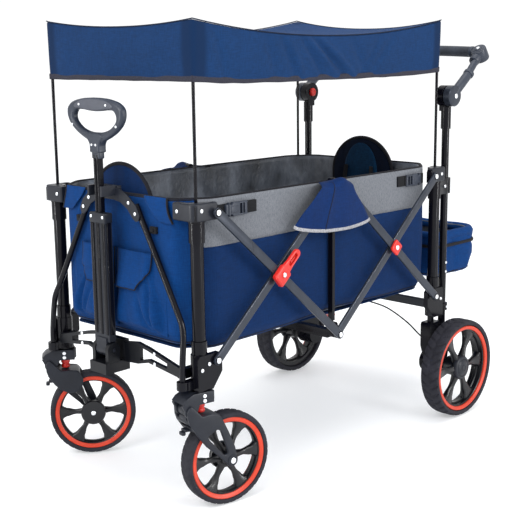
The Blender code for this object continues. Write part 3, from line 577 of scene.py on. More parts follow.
def curve_mesh(curve):
    """The mesh of a curve, in place of the curve."""
    holder = bpy.data.objects.new(curve.name, curve)
    SCENE.collection.objects.link(holder)
    bpy.context.view_layer.update()
    mesh = bpy.data.meshes.new_from_object(holder.evaluated_get(bpy.context.evaluated_depsgraph_get()))
    bpy.data.objects.remove(holder)
    return mesh


def tube(name, points, radius, mat, body, sides):
    """A round tube along a line through the points."""
    curve = bpy.data.curves.new(name, "CURVE")
    curve.dimensions = "3D"
    curve.bevel_depth = radius
    curve.bevel_resolution = sides
    curve.use_fill_caps = True
    spline = curve.splines.new("POLY")
    spline.points.add(len(points) - 1)
    for point, place in zip(spline.points, points):
        point.co = (*place, 1.0)
    mesh = curve_mesh(curve)
    mesh.name = name
    weld(mesh)
    mesh.shade_smooth()
    mesh.set_sharp_from_angle(angle=math.radians(50))
    return settle(new_piece(name, mesh, mat), body)


def weld(mesh, distance=0.00001):
    """Joins points that coincide and turns all faces outward."""
    bm = bmesh.new()
    bm.from_mesh(mesh)
    bmesh.ops.remove_doubles(bm, verts=bm.verts, dist=distance)
    bmesh.ops.recalc_face_normals(bm, faces=bm.faces)
    bm.to_mesh(mesh)
    bm.free()


def stretch(a, b, c, d, steps):
    """Points of a Catmull-Rom curve from knot b towards knot c; a and d are their neighbours."""
    return [0.5 * (2 * b + (c - a) * t + (2 * a - 5 * b + 4 * c - d) * t * t
                   + (3 * b - a - 3 * c + d) * t ** 3) for t in (k / steps for k in range(steps))]


def curved_line(knots, steps=8):
    """An open smooth line through the knots."""
    ends = [knots[0]] + list(knots) + [knots[-1]]
    line = []
    for four in zip(ends, ends[1:], ends[2:], ends[3:]):
        line += stretch(*four, steps)
    return line + [knots[-1]]


def closed_curve(knots, steps):
    """A closed smooth line through the knots."""
    count = len(knots)
    line = []
    for n in range(count):
        line += stretch(*(knots[(n + k) % count] for k in (-1, 0, 1, 2)), steps)
    return line


def resampled(loop, count):
    """The same closed line with evenly spaced points."""
    closed = loop + [loop[0]]
    lengths = [0.0]
    for a, b in zip(closed, closed[1:]):
        lengths.append(lengths[-1] + (b - a).length)
    points, k = [], 0
    for n in range(count):
        want = lengths[-1] * n / count
        while lengths[k + 1] < want:
            k += 1
        points.append(closed[k].lerp(closed[k + 1], (want - lengths[k]) / (lengths[k + 1] - lengths[k])))
    return points


def arc(centre, radius, start, end, steps):
    """Outline points on an arc, in degrees, anticlockwise; radius may be a pair."""
    wide, tall = radius if isinstance(radius, tuple) else (radius, radius)
    points = []
    for k in range(steps + 1):
        angle = math.radians(start + (end - start) * k / steps)
        points.append((centre[0] + wide * math.cos(angle), centre[1] + tall * math.sin(angle)))
    return points


PLANES = {"YZ": Matrix(((0, 0, 1), (1, 0, 0), (0, 1, 0))).to_4x4(),
          "XZ": Matrix(((1, 0, 0), (0, 0, -1), (0, 1, 0))).to_4x4(),
          "XY": Matrix.Identity(4)}


def slab(outlines, low, high, round_edge, steps, plane="YZ"):
    """Mesh of a flat outline (with holes, if more are given) with rounded edges."""
    curve = bpy.data.curves.new("outline", "CURVE")
    curve.dimensions = "2D"
    curve.fill_mode = "BOTH"
    curve.extrude = max(abs(high - low) / 2 - round_edge, 0.00005)
    curve.bevel_depth = round_edge
    curve.bevel_resolution = steps
    curve.offset = -round_edge
    for outline in outlines:
        spline = curve.splines.new("POLY")
        spline.points.add(len(outline) - 1)
        for point, (u, v) in zip(spline.points, outline):
            point.co = (u, v, 0.0, 1.0)
        spline.use_cyclic_u = True
    mesh = curve_mesh(curve)
    middle = (low + high) / 2
    shift = {"YZ": Vector((middle, BASE_Y, 0)), "XZ": Vector((0, middle + BASE_Y, 0)),
             "XY": Vector((0, BASE_Y, middle))}[plane]
    mesh.transform(Matrix.Translation(shift) @ PLANES[plane])
    weld(mesh)
    return mesh


def lathe(profile, steps, centre, axis="X", ripple_of=None):
    """Turns a closed profile of (radius, along) about an axis through the centre."""
    verts = []
    for k in range(steps):
        angle = 2 * math.pi * k / steps
        for i, (radius, along) in enumerate(profile):
            r = radius - (ripple_of(i, along, angle) if ripple_of else 0.0)
            a, b = r * math.cos(angle), r * math.sin(angle)
            local = {"X": (along, a, b), "Y": (a, along, b), "Z": (a, b, along)}[axis]
            verts.append(Vector(centre) + Vector(local))
    size = len(profile)
    faces = []
    for k in range(steps):
        m = (k + 1) % steps
        for i in range(size):
            n = (i + 1) % size
            faces.append((k * size + i, k * size + n, m * size + n, m * size + i))
    mesh = bpy.data.meshes.new("turned")
    mesh.from_pydata([tuple(v) for v in verts], [], faces)
    weld(mesh, 0.000001)
    return mesh


def knob(centre, normal, radius, height, dome=0.4):
    """A low round boss, rivet or screw head, standing on a point."""
    sides = 20
    out = Vector(normal).normalized()
    turn = out.to_track_quat("Z", "Y").to_matrix().to_4x4()
    rings = [(radius, -0.0006), (radius, height * (1 - dome)), (radius * 0.86, height * (1 - dome * 0.35)),
             (radius * 0.5, height * 0.97), (0.0, height)]
    bm = bmesh.new()
    rows = []
    for r, h in rings:
        if r == 0.0:
            rows.append([bm.verts.new((0, 0, h))])
            continue
        rows.append([bm.verts.new((x, y, h)) for x, y in ring_section(r, sides)])
    bm.faces.new(list(reversed(rows[0])))
    for first, second in zip(rows, rows[1:]):
        for k in range(sides):
            n = (k + 1) % sides
            if len(second) == 1:
                bm.faces.new((first[k], first[n], second[0]))
            else:
                bm.faces.new((first[k], first[n], second[n], second[k]))
    mesh = bpy.data.meshes.new("knob")
    bm.to_mesh(mesh)
    bm.free()
    mesh.transform(Matrix.Translation(Vector(centre)) @ turn)
    return mesh


def block(low, high, round_edge):
    """A box with rounded edges."""
    bm = bmesh.new()
    bmesh.ops.create_cube(bm, size=1.0)
    bmesh.ops.scale(bm, vec=[high[i] - low[i] for i in range(3)], verts=bm.verts)
    bmesh.ops.translate(bm, vec=[(high[i] + low[i]) / 2 for i in range(3)], verts=bm.verts)
    bmesh.ops.bevel(bm, geom=bm.edges[:], offset=round_edge, segments=3, profile=0.5, affect="EDGES")
    mesh = bpy.data.meshes.new("block")
    bm.to_mesh(mesh)
    bm.free()
    mesh.transform(Matrix.Translation((0, BASE_Y, 0)))
    return mesh


def bar(start, end, radius, sides=28, round_edge=0.0008):
    """A round bar between two places, with softened ends."""
    start, end = Vector(start), Vector(end)
    along = end - start
    bm = bmesh.new()
    bmesh.ops.create_cone(bm, cap_ends=True, segments=sides, radius1=radius, radius2=radius,
                          depth=along.length)
    rims = [e for e in bm.edges if len(e.link_faces) == 2
            and any(len(f.verts) > 4 for f in e.link_faces)]
    bmesh.ops.bevel(bm, geom=rims, offset=round_edge, segments=2, profile=0.5, affect="EDGES")
    mesh = bpy.data.meshes.new("bar")
    bm.to_mesh(mesh)
    bm.free()
    turn = along.to_track_quat("Z", "Y").to_matrix().to_4x4()
    mesh.transform(Matrix.Translation((start + end) / 2) @ turn)
    return mesh


def assembled(name, meshes, mat, body, sign=1, place=None, replaces=(), sharp=38):
    """One piece out of several meshes; sign -1 mirrors it, place moves it."""
    bm = bmesh.new()
    for mesh in meshes:
        bm.from_mesh(mesh)
        bpy.data.meshes.remove(mesh)
    joined = bpy.data.meshes.new(name)
    bm.to_mesh(joined)
    bm.free()
    if sign < 0:
        joined.transform(Matrix.Scale(-1, 4, (1, 0, 0)))
        joined.flip_normals()
    if place is not None:
        joined.transform(place)
    joined.shade_smooth()
    joined.set_sharp_from_angle(angle=math.radians(sharp))
    obj = settle(new_piece(name, joined, mat), body)
    if replaces:
        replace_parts(obj, *replaces)
    return obj


def body_of(node):
    """The body that carries a CAD node."""
    return frame["nodes"][node]["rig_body"]


def skin(node, mat, edge):
    """The CAD piece's own shape with welded, softened edges and smooth round faces."""
    mesh = frame["nodes"][node].data.copy()
    mesh.name = node + "_skin"
    bm = bmesh.new()
    bm.from_mesh(mesh)
    bmesh.ops.remove_doubles(bm, verts=bm.verts, dist=0.00002)
    bmesh.ops.dissolve_limit(bm, angle_limit=0.01, verts=bm.verts, edges=bm.edges)
    bmesh.ops.recalc_face_normals(bm, faces=bm.faces)
    bm.to_mesh(mesh)
    bm.free()
    for attribute in [a.name for a in mesh.attributes if a.name.startswith("custom")]:
        mesh.attributes.remove(mesh.attributes[attribute])
    mesh.shade_smooth()
    mesh.set_sharp_from_angle(angle=math.radians(40))
    obj = new_piece(node + "_skin", mesh, mat)
    soft = obj.modifiers.new("edges", "BEVEL")
    soft.width = edge
    soft.segments = 2
    soft.limit_method = "ANGLE"
    soft.angle_limit = math.radians(40)
    soft.harden_normals = True
    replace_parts(obj, node)
    return settle(obj, body_of(node))


# ------------------------------------------------------------------ canopy
CANOPY_X, CANOPY_Y = 0.2432, 0.4192
# height of each corner, by its side and end
CANOPY_TOP = {(-1, -1): 1.0165, (1, -1): 1.0105, (1, 1): 1.0150, (-1, 1): 1.0240}
CANOPY_ROUND = 0.0075
SIDE_SAG, FRONT_SAG, REAR_SAG = 0.035, 0.0145, 0.022
HEM_LOW, HEM_MIDDLE = 0.8915, 0.8835
HEM_TALL = 0.0125
# creases of the long sides: place along the side, slope, width, depth
CREASES = ((-0.365, 0.35, 0.010, 0.0040), (-0.215, 0.35, 0.012, 0.0036), (-0.168, 0.50, 0.009, 0.0060),
           (-0.150, 0.52, 0.009, -0.0040), (-0.108, 0.80, 0.008, 0.0085), (-0.088, 1.00, 0.008, -0.0060),
           (-0.070, 1.18, 0.009, 0.0105), (-0.050, 1.25, 0.010, -0.0060), (0.060, 0.60, 0.014, 0.0040),
           (0.175, -0.70, 0.012, 0.0045), (0.230, -1.00, 0.012, 0.0045))


def canopy_plan(u, v):
    """Rounded corners: the square -1..1 mapped onto the canopy's plan."""
    x, y = u * CANOPY_X, v * CANOPY_Y
    dx = abs(x) - (CANOPY_X - CANOPY_ROUND)
    dy = abs(y) - (CANOPY_Y - CANOPY_ROUND)
    if dx > 0 and dy > 0:
        share = max(dx, dy) / math.hypot(dx, dy)
        x = math.copysign(CANOPY_X - CANOPY_ROUND + dx * share, x)
        y = math.copysign(CANOPY_Y - CANOPY_ROUND + dy * share, y)
    return x, y


def canopy_height(u, v):
    """Height of the canopy's top, sagging between its four corners."""
    end_sag = FRONT_SAG + (REAR_SAG - FRONT_SAG) * (v + 1) / 2
    corners = sum(top * (1 + u * a) * (1 + v * b) / 4 for (a, b), top in CANOPY_TOP.items())
    return (corners - SIDE_SAG * (1 - abs(v) ** 2.1) * (0.72 + 0.28 * u * u)
            - end_sag * (1 - abs(u) ** 2.1))


def hem_height(u, v):
    """Height of the canopy's hem, a little lower at the middle of each long side."""
    return HEM_LOW - (HEM_LOW - HEM_MIDDLE) * (1 - v ** 4) * u ** 6


def canopy_skirt_point(u, v, t):
    """A place on the hanging side, t = 0 at the top edge and 1 at the hem."""
    x, y = canopy_plan(u, v)
    top = canopy_height(u, v)
    z = top + (hem_height(u, v) - top) * t
    out = Vector((x / CANOPY_X, 0, 0)) if abs(u) > 0.999 else Vector((0, y / CANOPY_Y, 0))
    middle = math.sin(math.pi * t)
    bow = 0.0035 * middle + 0.0022 * ripple((x, y, z), (9, 9, 13), 3.1) * (0.3 + middle)
    if abs(u) > 0.999:
        for start, slope, width, depth in CREASES:
            centre = start + slope * t * 0.11
            bow -= depth * math.exp(-((y - centre) / width) ** 2) * middle ** 0.7
    else:
        bow += 0.002 * ripple((x, y, z), (22, 22, 5), 8.0) * middle
    fade = smooth(0, 0.05, CANOPY_Y - abs(y)) if abs(u) > 0.999 else smooth(0, 0.05, CANOPY_X - abs(x))
    tuck = -0.004 * t
    return at(x, y, z) + out * ((bow - 0.0012) * (0.25 + 0.75 * fade) + tuck)


def make_canopy():
    """Top and hanging sides in one cloth, with its hem tape and edge piping."""
    columns, rows, drops = 36, 96, 16
    points = []
    for j in range(rows + 1):
        for i in range(columns + 1):
            u, v = 2 * i / columns - 1, 2 * j / rows - 1
            x, y = canopy_plan(u, v)
            crumple = 0.0032 * ripple((x, y, 0), (13, 9, 1), 1.7) * (1 - max(abs(u), abs(v)) ** 4)
            crumple += 0.0016 * ripple((x, y, 0), (34, 24, 1), 5.2) * (1 - max(abs(u), abs(v)) ** 6)
            points.append(at(x, y, canopy_height(u, v) + crumple))
    faces = grid_faces(rows + 1, columns + 1)
    border = ([(i, 0) for i in range(columns)] + [(columns, j) for j in range(rows)]
              + [(i, rows) for i in range(columns, 0, -1)] + [(0, j) for j in range(rows, 0, -1)])
    around = [(2 * i / columns - 1, 2 * j / rows - 1) for i, j in border]
    above = [j * (columns + 1) + i for i, j in border]
    for drop in range(1, drops + 1):
        below = list(range(len(points), len(points) + len(around)))
        points += [canopy_skirt_point(u, v, drop / drops) for u, v in around]
        for k in range(len(around)):
            n = (k + 1) % len(around)
            faces.append((above[k], below[k], below[n], above[n]))
        above = below
    body = body_of("canopy")
    sheet = mesh_piece("canopy_cloth", points, faces, CANOPY_CLOTH, body, thick=0.0014, levels=1)
    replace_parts(sheet, "canopy")
    hem_line = [canopy_skirt_point(u, v, 1.0) for u, v in around]
    hem_line = [p + Vector((0, 0, HEM_TALL / 2 - 0.002 + 0.0012 * ripple(p, (24, 24, 0), 5.0)))
                for p in hem_line]
    hem = trim("canopy_hem", hem_line, tape_section(HEM_TALL, 0.0034), HEM, body)
    edge_line = [canopy_skirt_point(u, v, 0.0) + Vector((0, 0, 0.0006)) for u, v in around]
    piping = trim("canopy_piping", edge_line, ring_section(0.0013, 8), PIPING, body)
    fold_up(sheet, hem, piping)


# ------------------------------------------------------------------ basket
RIM_Z = 0.6535
BAND_Z = 0.5575
# height of the side wall's lower edge along the length
SIDE_BOTTOM = ((-0.39, 0.3370), (-0.24, 0.3375), (-0.14, 0.3395), (-0.06, 0.3440), (0.02, 0.3500),
               (0.13, 0.3470), (0.25, 0.3445), (0.39, 0.3440))
# (x, y) places round a quarter of the basket, from the middle of a side to the middle of an end
PLAN = [(0.2290, 0.0), (0.2290, 0.1600), (0.2290, 0.2800), (0.2290, 0.3250), (0.2290, 0.3450),
        (0.2272, 0.3600), (0.2205, 0.3760), (0.2100, 0.3900), (0.1990, 0.4050), (0.1875, 0.4185),
        (0.1740, 0.4270), (0.1600, 0.4288), (0.1400, 0.4290), (0.1000, 0.4290), (0.0, 0.4290)]
COLUMN_STEP = 0.009


def basket_path():
    """Evenly spaced (x, y) places round the basket, anticlockwise, from the middle of the +X side."""
    loop = list(PLAN)
    loop += [(-x, y) for x, y in reversed(PLAN[:-1])]
    loop += [(-x, -y) for x, y in PLAN[1:]]
    loop += [(x, -y) for x, y in reversed(PLAN[1:-1])]
    dense = curved_line([Vector((x, y, 0)) for x, y in loop + [loop[0]]], 12)
    length = 0.0
    for a, b in zip(dense, dense[1:]):
        length += (b - a).length
    return resampled(dense[:-1], round(length / COLUMN_STEP))


BASKET_PATH = basket_path()


def basket_region(x, y):
    """side, front or rear, by where a place of the outline lies."""
    if y < -0.40 or (y < -0.385 and abs(x) < 0.213):
        return "front"
    if y > 0.40:
        return "rear"
    return "side"


def basket_bottom(x, y):
    """Height where the wall turns under, below a place of the outline."""
    if basket_region(x, y) == "side":
        return table(y, SIDE_BOTTOM)
    return 0.3480 if y < 0 else 0.3440


def basket_wall(k, t, inset, wrinkle=1.0, low=None):
    """A place on the wall: column k, t = 0 at the rim, 1 where the bottom edge turns under."""
    place = BASKET_PATH[k % len(BASKET_PATH)]
    before = BASKET_PATH[(k - 1) % len(BASKET_PATH)]
    after = BASKET_PATH[(k + 1) % len(BASKET_PATH)]
    along = (after - before).normalized()
    out = Vector((along.y, -along.x, 0))
    bottom = low if low is not None else basket_bottom(place.x, place.y)
    z = RIM_Z + (bottom - RIM_Z) * t
    free = math.sin(math.pi * clamp(t, 0, 1)) ** 0.6
    push = 0.0018 * ripple((place.x, place.y, z), (9, 9, 5), 2.0)
    push += 0.0016 * ripple((place.x, place.y, z), (34, 34, 7), 6.0)
    push += 0.0009 * ripple((place.x, place.y, z), (70, 70, 16), 9.0)
    push *= free * wrinkle
    if basket_region(place.x, place.y) == "side":
        push += 0.0012 * free
        push -= 0.0022 * math.exp(-(place.y / 0.03) ** 2) * free
    turn_under = 0.012 * smooth(0.90, 1.0, t) ** 2
    return at(place.x, place.y, z) + out * (push - inset - turn_under)


def column_runs(regions):
    """Unbroken runs of the columns in some regions, each with one more column at both ends."""
    count = len(BASKET_PATH)
    chosen = [basket_region(p.x, p.y) in regions for p in BASKET_PATH]
    start = next(k for k in range(count) if chosen[k] and not chosen[k - 1])
    runs = [[]]
    for k in [(start + n) % count for n in range(count)]:
        if chosen[k]:
            runs[-1].append(k)
        elif runs[-1]:
            runs.append([])
    return [[run[0] - 1] + run + [run[-1] + 1] for run in runs if run]


def basket_patch(name, regions, t_low, t_high, rows, mat, inset=0.0):
    """Part of the outer wall: the columns in some regions, between two shares of the height."""
    verts, faces = [], []
    for run in column_runs(regions):
        base = len(verts)
        for j in range(rows):
            t = t_low + (t_high - t_low) * j / (rows - 1)
            verts += [basket_wall(k, t, inset) for k in run]
        for face in grid_faces(rows, len(run)):
            faces.append(tuple(base + k for k in reversed(face)))
    piece = mesh_piece(name, verts, faces, mat, "front_top", thick=0.0016)
    fold_up(piece)
    return piece


def make_basket():
    """Outer walls: the darker navy copy of the cloth as painted shade on the sides, the grey band, and the
    lighter blue copy as painted light on the front, with the lining, the rim tape and the seam.
    """
    band_share = (RIM_Z - BAND_Z) / (RIM_Z - 0.342)
    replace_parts(basket_patch("basket_sides", ("side", "rear"), band_share, 1.0, 30, OXFORD_SHADED), "basket")
    basket_patch("basket_band", ("side", "rear"), 0.0, band_share + 0.006, 14, GREY_CLOTH, inset=-0.0006)
    basket_patch("basket_front", ("front",), 0.0, 1.0, 40, OXFORD_LIT)
    make_lining()
    columns = range(len(BASKET_PATH))
    rim_line = [basket_wall(k, 0.0, 0.0035) + Vector((0, 0, -0.0015)) for k in columns]
    lower_line = [basket_wall(k, 0.985, -0.0004) for k in columns]
    fold_up(trim("basket_binding", rim_line, tape_section(0.0095, 0.0088), BINDING, "front_top"),
            trim("basket_bottom_seam", lower_line, ring_section(0.0018, 8), BINDING, "front_top"))


def make_lining():
    """Inner wall of creased nylon, the floor, and the bottom skin under it."""
    count = len(BASKET_PATH)
    rows = 30
    verts = []
    for j in range(rows):
        t = j / (rows - 1)
        for k, place in enumerate(BASKET_PATH):
            point = basket_wall(k, t, 0.0075, 0.0, low=0.350)
            out = Vector((place.x / 0.229, place.y / 0.43, 0)).normalized()
            free = math.sin(math.pi * clamp(t * 0.98 + 0.01)) ** 0.5
            sway = place.x if abs(place.y) > 0.40 else place.y
            push = 0.0060 * ripple((sway + point.z * 0.9, place.x, point.z), (20, 3, 8), 4.0)
            push += 0.0042 * ripple((sway + point.z * 1.3, place.x, point.z), (46, 3, 14), 7.0)
            verts.append(point - out * (0.003 + max(push, -0.0045)) * free)
    faces = [(a, d, c, b) for a, b, c, d in grid_faces(rows, count, True)]
    fold_up(mesh_piece("basket_lining", verts, faces, LINING, "front_top", thick=0.0010))
    rings = 14
    for name, low, inset, mat, sag in (("basket_floor_mat", 0.3500, -0.0015, LINING, 0.0),
                                       ("basket_under_skin", 0.3395, 0.0005, OXFORD_SHADED, 0.0020)):
        verts = []
        for j in range(rings):
            share = 1 - j / rings
            for k in range(count):
                edge = basket_wall(k, 1.0, inset, 0.0, low=low)
                spot = Vector((edge.x * share, (edge.y - BASE_Y) * share + BASE_Y, low))
                spot.z += 0.0012 * ripple(spot, (14, 14, 0), 2.0) - sag * (1 - share ** 2)
                if mat is LINING:
                    spot.z += 0.0030 * abs(math.sin(math.pi * spot.x / 0.11)) * (1 - share ** 6)
                verts.append(spot)
        faces = grid_faces(rings, count, True)
        faces.append(tuple(range((rings - 1) * count, rings * count)))
        fold_up(mesh_piece(name, verts, faces, mat, "front_top", thick=0.0016))


# ------------------------------------------------------------------ pockets and front details
FRONT_FACE = -0.4305
POCKET_TOP, POCKET_FLAP_LOW, POCKET_LOW = 0.5340, 0.4540, 0.3620


def pocket_depth(x, z, sign):
    """How far a pocket stands out from the front panel."""
    across = x * sign
    wide = table(z, ((POCKET_LOW, 0.150), (0.40, 0.150), (0.48, 0.122), (POCKET_TOP, 0.118)))
    edge = smooth(0.0, 0.014, across - 0.006) * smooth(0.0, 0.018, wide - across)
    foot = smooth(0.0, 0.022, z - POCKET_LOW)
    full = table(z, ((POCKET_LOW, 0.020), (0.40, 0.0235), (0.46, 0.016), (POCKET_TOP, 0.004)))
    pleat = 0.011 * math.exp(-((across - 0.118 + (z - 0.40) * 0.18) / 0.006) ** 2) * smooth(0.50, 0.46, z)
    tuck = 0.009 * math.exp(-((across - 0.088 + (z - 0.42) * 0.5) / 0.007) ** 2) * smooth(0.47, 0.40, z)
    crumple = 0.0040 * ripple((x, 0, z), (32, 1, 20), 5.0)
    return max(0.0, (full - pleat - tuck + crumple) * edge * foot)


def make_pockets():
    """Two cargo pockets, each with its flap and the piping round the flap."""
    for side, sign in SIDES:
        columns, rows = 46, 50
        verts = []
        for j in range(rows):
            z = POCKET_TOP + (POCKET_LOW - POCKET_TOP) * j / (rows - 1)
            for i in range(columns):
                x = sign * (0.004 + 0.152 * i / (columns - 1))
                verts.append(at(x, FRONT_FACE + 0.0012 - pocket_depth(x, z, sign), z))
        pocket = mesh_piece("front_pocket_" + side, verts, side_faces(rows, columns, sign), OXFORD_LIT,
                            "front_top", thick=0.0014)
        columns, rows = 30, 18
        verts = []
        for j in range(rows):
            t = j / (rows - 1)
            z = POCKET_TOP + 0.002 + (POCKET_FLAP_LOW - POCKET_TOP) * t
            corner = smooth(0.45, 1.0, t) * 0.030
            for i in range(columns):
                x = sign * (0.005 + (0.118 - 0.006 * t - corner - 0.005) * i / (columns - 1))
                lift = 0.0035 + 0.0045 * t + 0.0012 * ripple((x, 0, z), (26, 1, 12), 2.0)
                verts.append(at(x, FRONT_FACE - pocket_depth(x, z, sign) - lift, z))
        flap = mesh_piece("pocket_flap_" + side, verts, side_faces(rows, columns, sign), OXFORD_LIT,
                          "front_top", thick=0.0018)
        border = ([verts[j * columns] for j in range(rows)]
                  + [verts[(rows - 1) * columns + i] for i in range(1, columns)]
                  + [verts[j * columns + columns - 1] for j in range(rows - 2, -1, -1)])
        piping = trim("pocket_piping_" + side, border, ring_section(0.0014, 8), BINDING, "front_top",
                      closed=False, up=FORE_AFT)
        fold_up(pocket, flap, piping)


def make_front_tabs():
    """Cloth loops at the upper corners, with their bound edge, and the two strap tabs."""
    columns, rows = 16, 20
    for side, sign in SIDES:
        verts = []
        for j in range(rows):
            t = j / (rows - 1)
            z = 0.6570 - 0.052 * t
            outer = 0.170 + 0.016 * t ** 2
            inner = 0.100 + 0.050 * t ** 1.4
            for i in range(columns):
                s = i / (columns - 1)
                across = inner + (outer - inner) * s
                y = FRONT_FACE - 0.0032 - 0.0030 * math.sin(math.pi * t) * (1 - 0.4 * s)
                verts.append(at(sign * across, y + 0.0012 * ripple((across, 0, z), (40, 1, 30), 1.0), z))
        tab = mesh_piece("corner_tab_" + side, verts, side_faces(rows, columns, sign), OXFORD_LIT, "front_top",
                         thick=0.0018)
        bound = trim("corner_tab_binding_" + side, verts[columns - 1::columns], ring_section(0.0022, 8),
                     BINDING, "front_top", closed=False, up=FORE_AFT)
        loops = [block((0.115, FRONT_FACE - 0.006, 0.579), (0.136, FRONT_FACE + 0.001, 0.594), 0.002),
                 block((0.119, FRONT_FACE - 0.009, 0.583), (0.130, FRONT_FACE - 0.004, 0.590), 0.0015)]
        fold_up(tab, bound, assembled("front_strap_tab_" + side, loops, STRAP, "front_top", sign))


# ------------------------------------------------------------------ side flaps
# share of the drop, distance from the middle plane, left and right edge, their heights
FLAP_SHAPE = ((0.0, 0.2335, -0.038, 0.040, 0.6545, 0.6545), (0.08, 0.2540, -0.056, 0.038, 0.6555, 0.6530),
              (0.16, 0.2720, -0.069, 0.036, 0.6500, 0.6450), (0.35, 0.2765, -0.0935, 0.0460, 0.6325, 0.6260),
              (0.65, 0.2775, -0.131, 0.0740, 0.6023, 0.5940), (1.0, 0.2760, -0.1639, 0.0980, 0.5722, 0.5580))


def flap_row(t):
    """Straight interpolation down the flap's outline: out, left, right and the two edges' heights."""
    for (a, *first), (b, *second) in zip(FLAP_SHAPE, FLAP_SHAPE[1:]):
        if t <= b:
            share = (t - a) / (b - a)
            return [low + (high - low) * share for low, high in zip(first, second)]
    return FLAP_SHAPE[-1][1:]


def make_flaps():
    """The cloths hung over the middle pivots, with reflective tape and a seam."""
    columns, rows = 34, 30
    seam_column = 12
    for side, sign in SIDES:
        verts = []
        for j in range(rows):
            t = j / (rows - 1)
            out, left, right, left_z, right_z = flap_row(t)
            for i in range(columns):
                s = i / (columns - 1)
                y = left + (right - left) * s
                x = out - 0.0035 * (2 * s - 1) ** 2 * smooth(0.1, 0.4, t)
                x += 0.0022 * ripple((0, y, left_z), (1, 24, 16), 3.0) * smooth(0.05, 0.4, t)
                x += 0.0032 * math.exp(-((s - 0.36) / 0.05) ** 2) * smooth(0.0, 0.3, t) * (1 - t * 0.5)
                droop = 0.0160 * max(0.0, math.sin(math.pi * s)) ** 0.6 * t
                knuckle = math.exp(-(y / 0.024) ** 2 - ((t - 0.13) / 0.085) ** 2)
                x += 0.0080 * knuckle
                verts.append(at(sign * x, y, left_z + (right_z - left_z) * s - droop + 0.0165 * knuckle))
        flap = mesh_piece("side_flap_" + side, verts, side_faces(rows, columns, sign), FLAP_CLOTH,
                          "front_top", thick=0.0018)
        edge = [vert + Vector((sign * 0.0004, 0, 0.002)) for vert in verts[-columns:]]
        reflector = trim("flap_reflector_" + side, edge, tape_section(0.0075, 0.0034), REFLECT, "front_top",
                         closed=False)
        seam = [vert + Vector((sign * 0.0011, 0, 0)) for vert in verts[seam_column::columns]]
        stitch = trim("flap_seam_" + side, seam, ring_section(0.0009, 6), BINDING, "front_top",
                      closed=False, up=FORE_AFT)
        for piece in (flap, reflector, stitch):
            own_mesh(piece)


# ------------------------------------------------------------------ seat backs
SEAT_HALF = 0.100
SEAT_LOW, SEAT_CENTRE, SEAT_SHOULDER, SEAT_TOP = 0.362, 0.545, 0.620, 0.7145
# harness strap down the pad: distance from the middle, lift off the board, height
HARNESS = ((0.042, 0.0135, 0.640), (0.046, 0.019, 0.600), (0.050, 0.020, 0.540), (0.050, 0.018, 0.470),
           (0.044, 0.022, 0.410), (0.030, 0.030, 0.372))


def seat_outline():
    """(x, z) places round a seat back: tapered sides and a round top."""
    steps, taper = 20, 0.010
    drop = SEAT_SHOULDER - SEAT_LOW
    outline = [(SEAT_HALF - taper + taper * k / steps, SEAT_LOW + drop * k / steps) for k in range(steps)]
    outline += arc((0, SEAT_SHOULDER), (SEAT_HALF, SEAT_TOP - SEAT_SHOULDER), 0, 180, 40)
    outline += [(-(SEAT_HALF - taper * k / steps), SEAT_SHOULDER - drop * k / steps)
                for k in range(1, steps + 1)]
    return outline + [(-0.090 + 0.18 * k / 16, SEAT_LOW) for k in range(1, 16)]


def seat_side(name, mat, body, outline, plane, side, crown):
    """One face of the padded board, crowned from its edge towards its middle."""
    layers = 12
    verts = []
    for j in range(layers):
        share = 1 - j / layers
        for x, z in outline:
            px = x * share
            pz = SEAT_CENTRE + (z - SEAT_CENTRE) * share
            swell = crown * (1 - share ** 3.2)
            channel = 0.0030 * math.exp(-((abs(px) - 0.062) / 0.005) ** 2) * smooth(1.0, 0.93, share)
            crumple = 0.0007 * ripple((px, 0, pz), (30, 1, 18), 2.0)
            verts.append(at(px, plane + side * (0.0012 + swell - channel + crumple), pz))
    count = len(outline)
    faces = grid_faces(layers, count, True) + [tuple(range((layers - 1) * count, layers * count))]
    if side > 0:
        faces = [tuple(reversed(face)) for face in faces]
    return mesh_piece(name, verts, faces, mat, body)


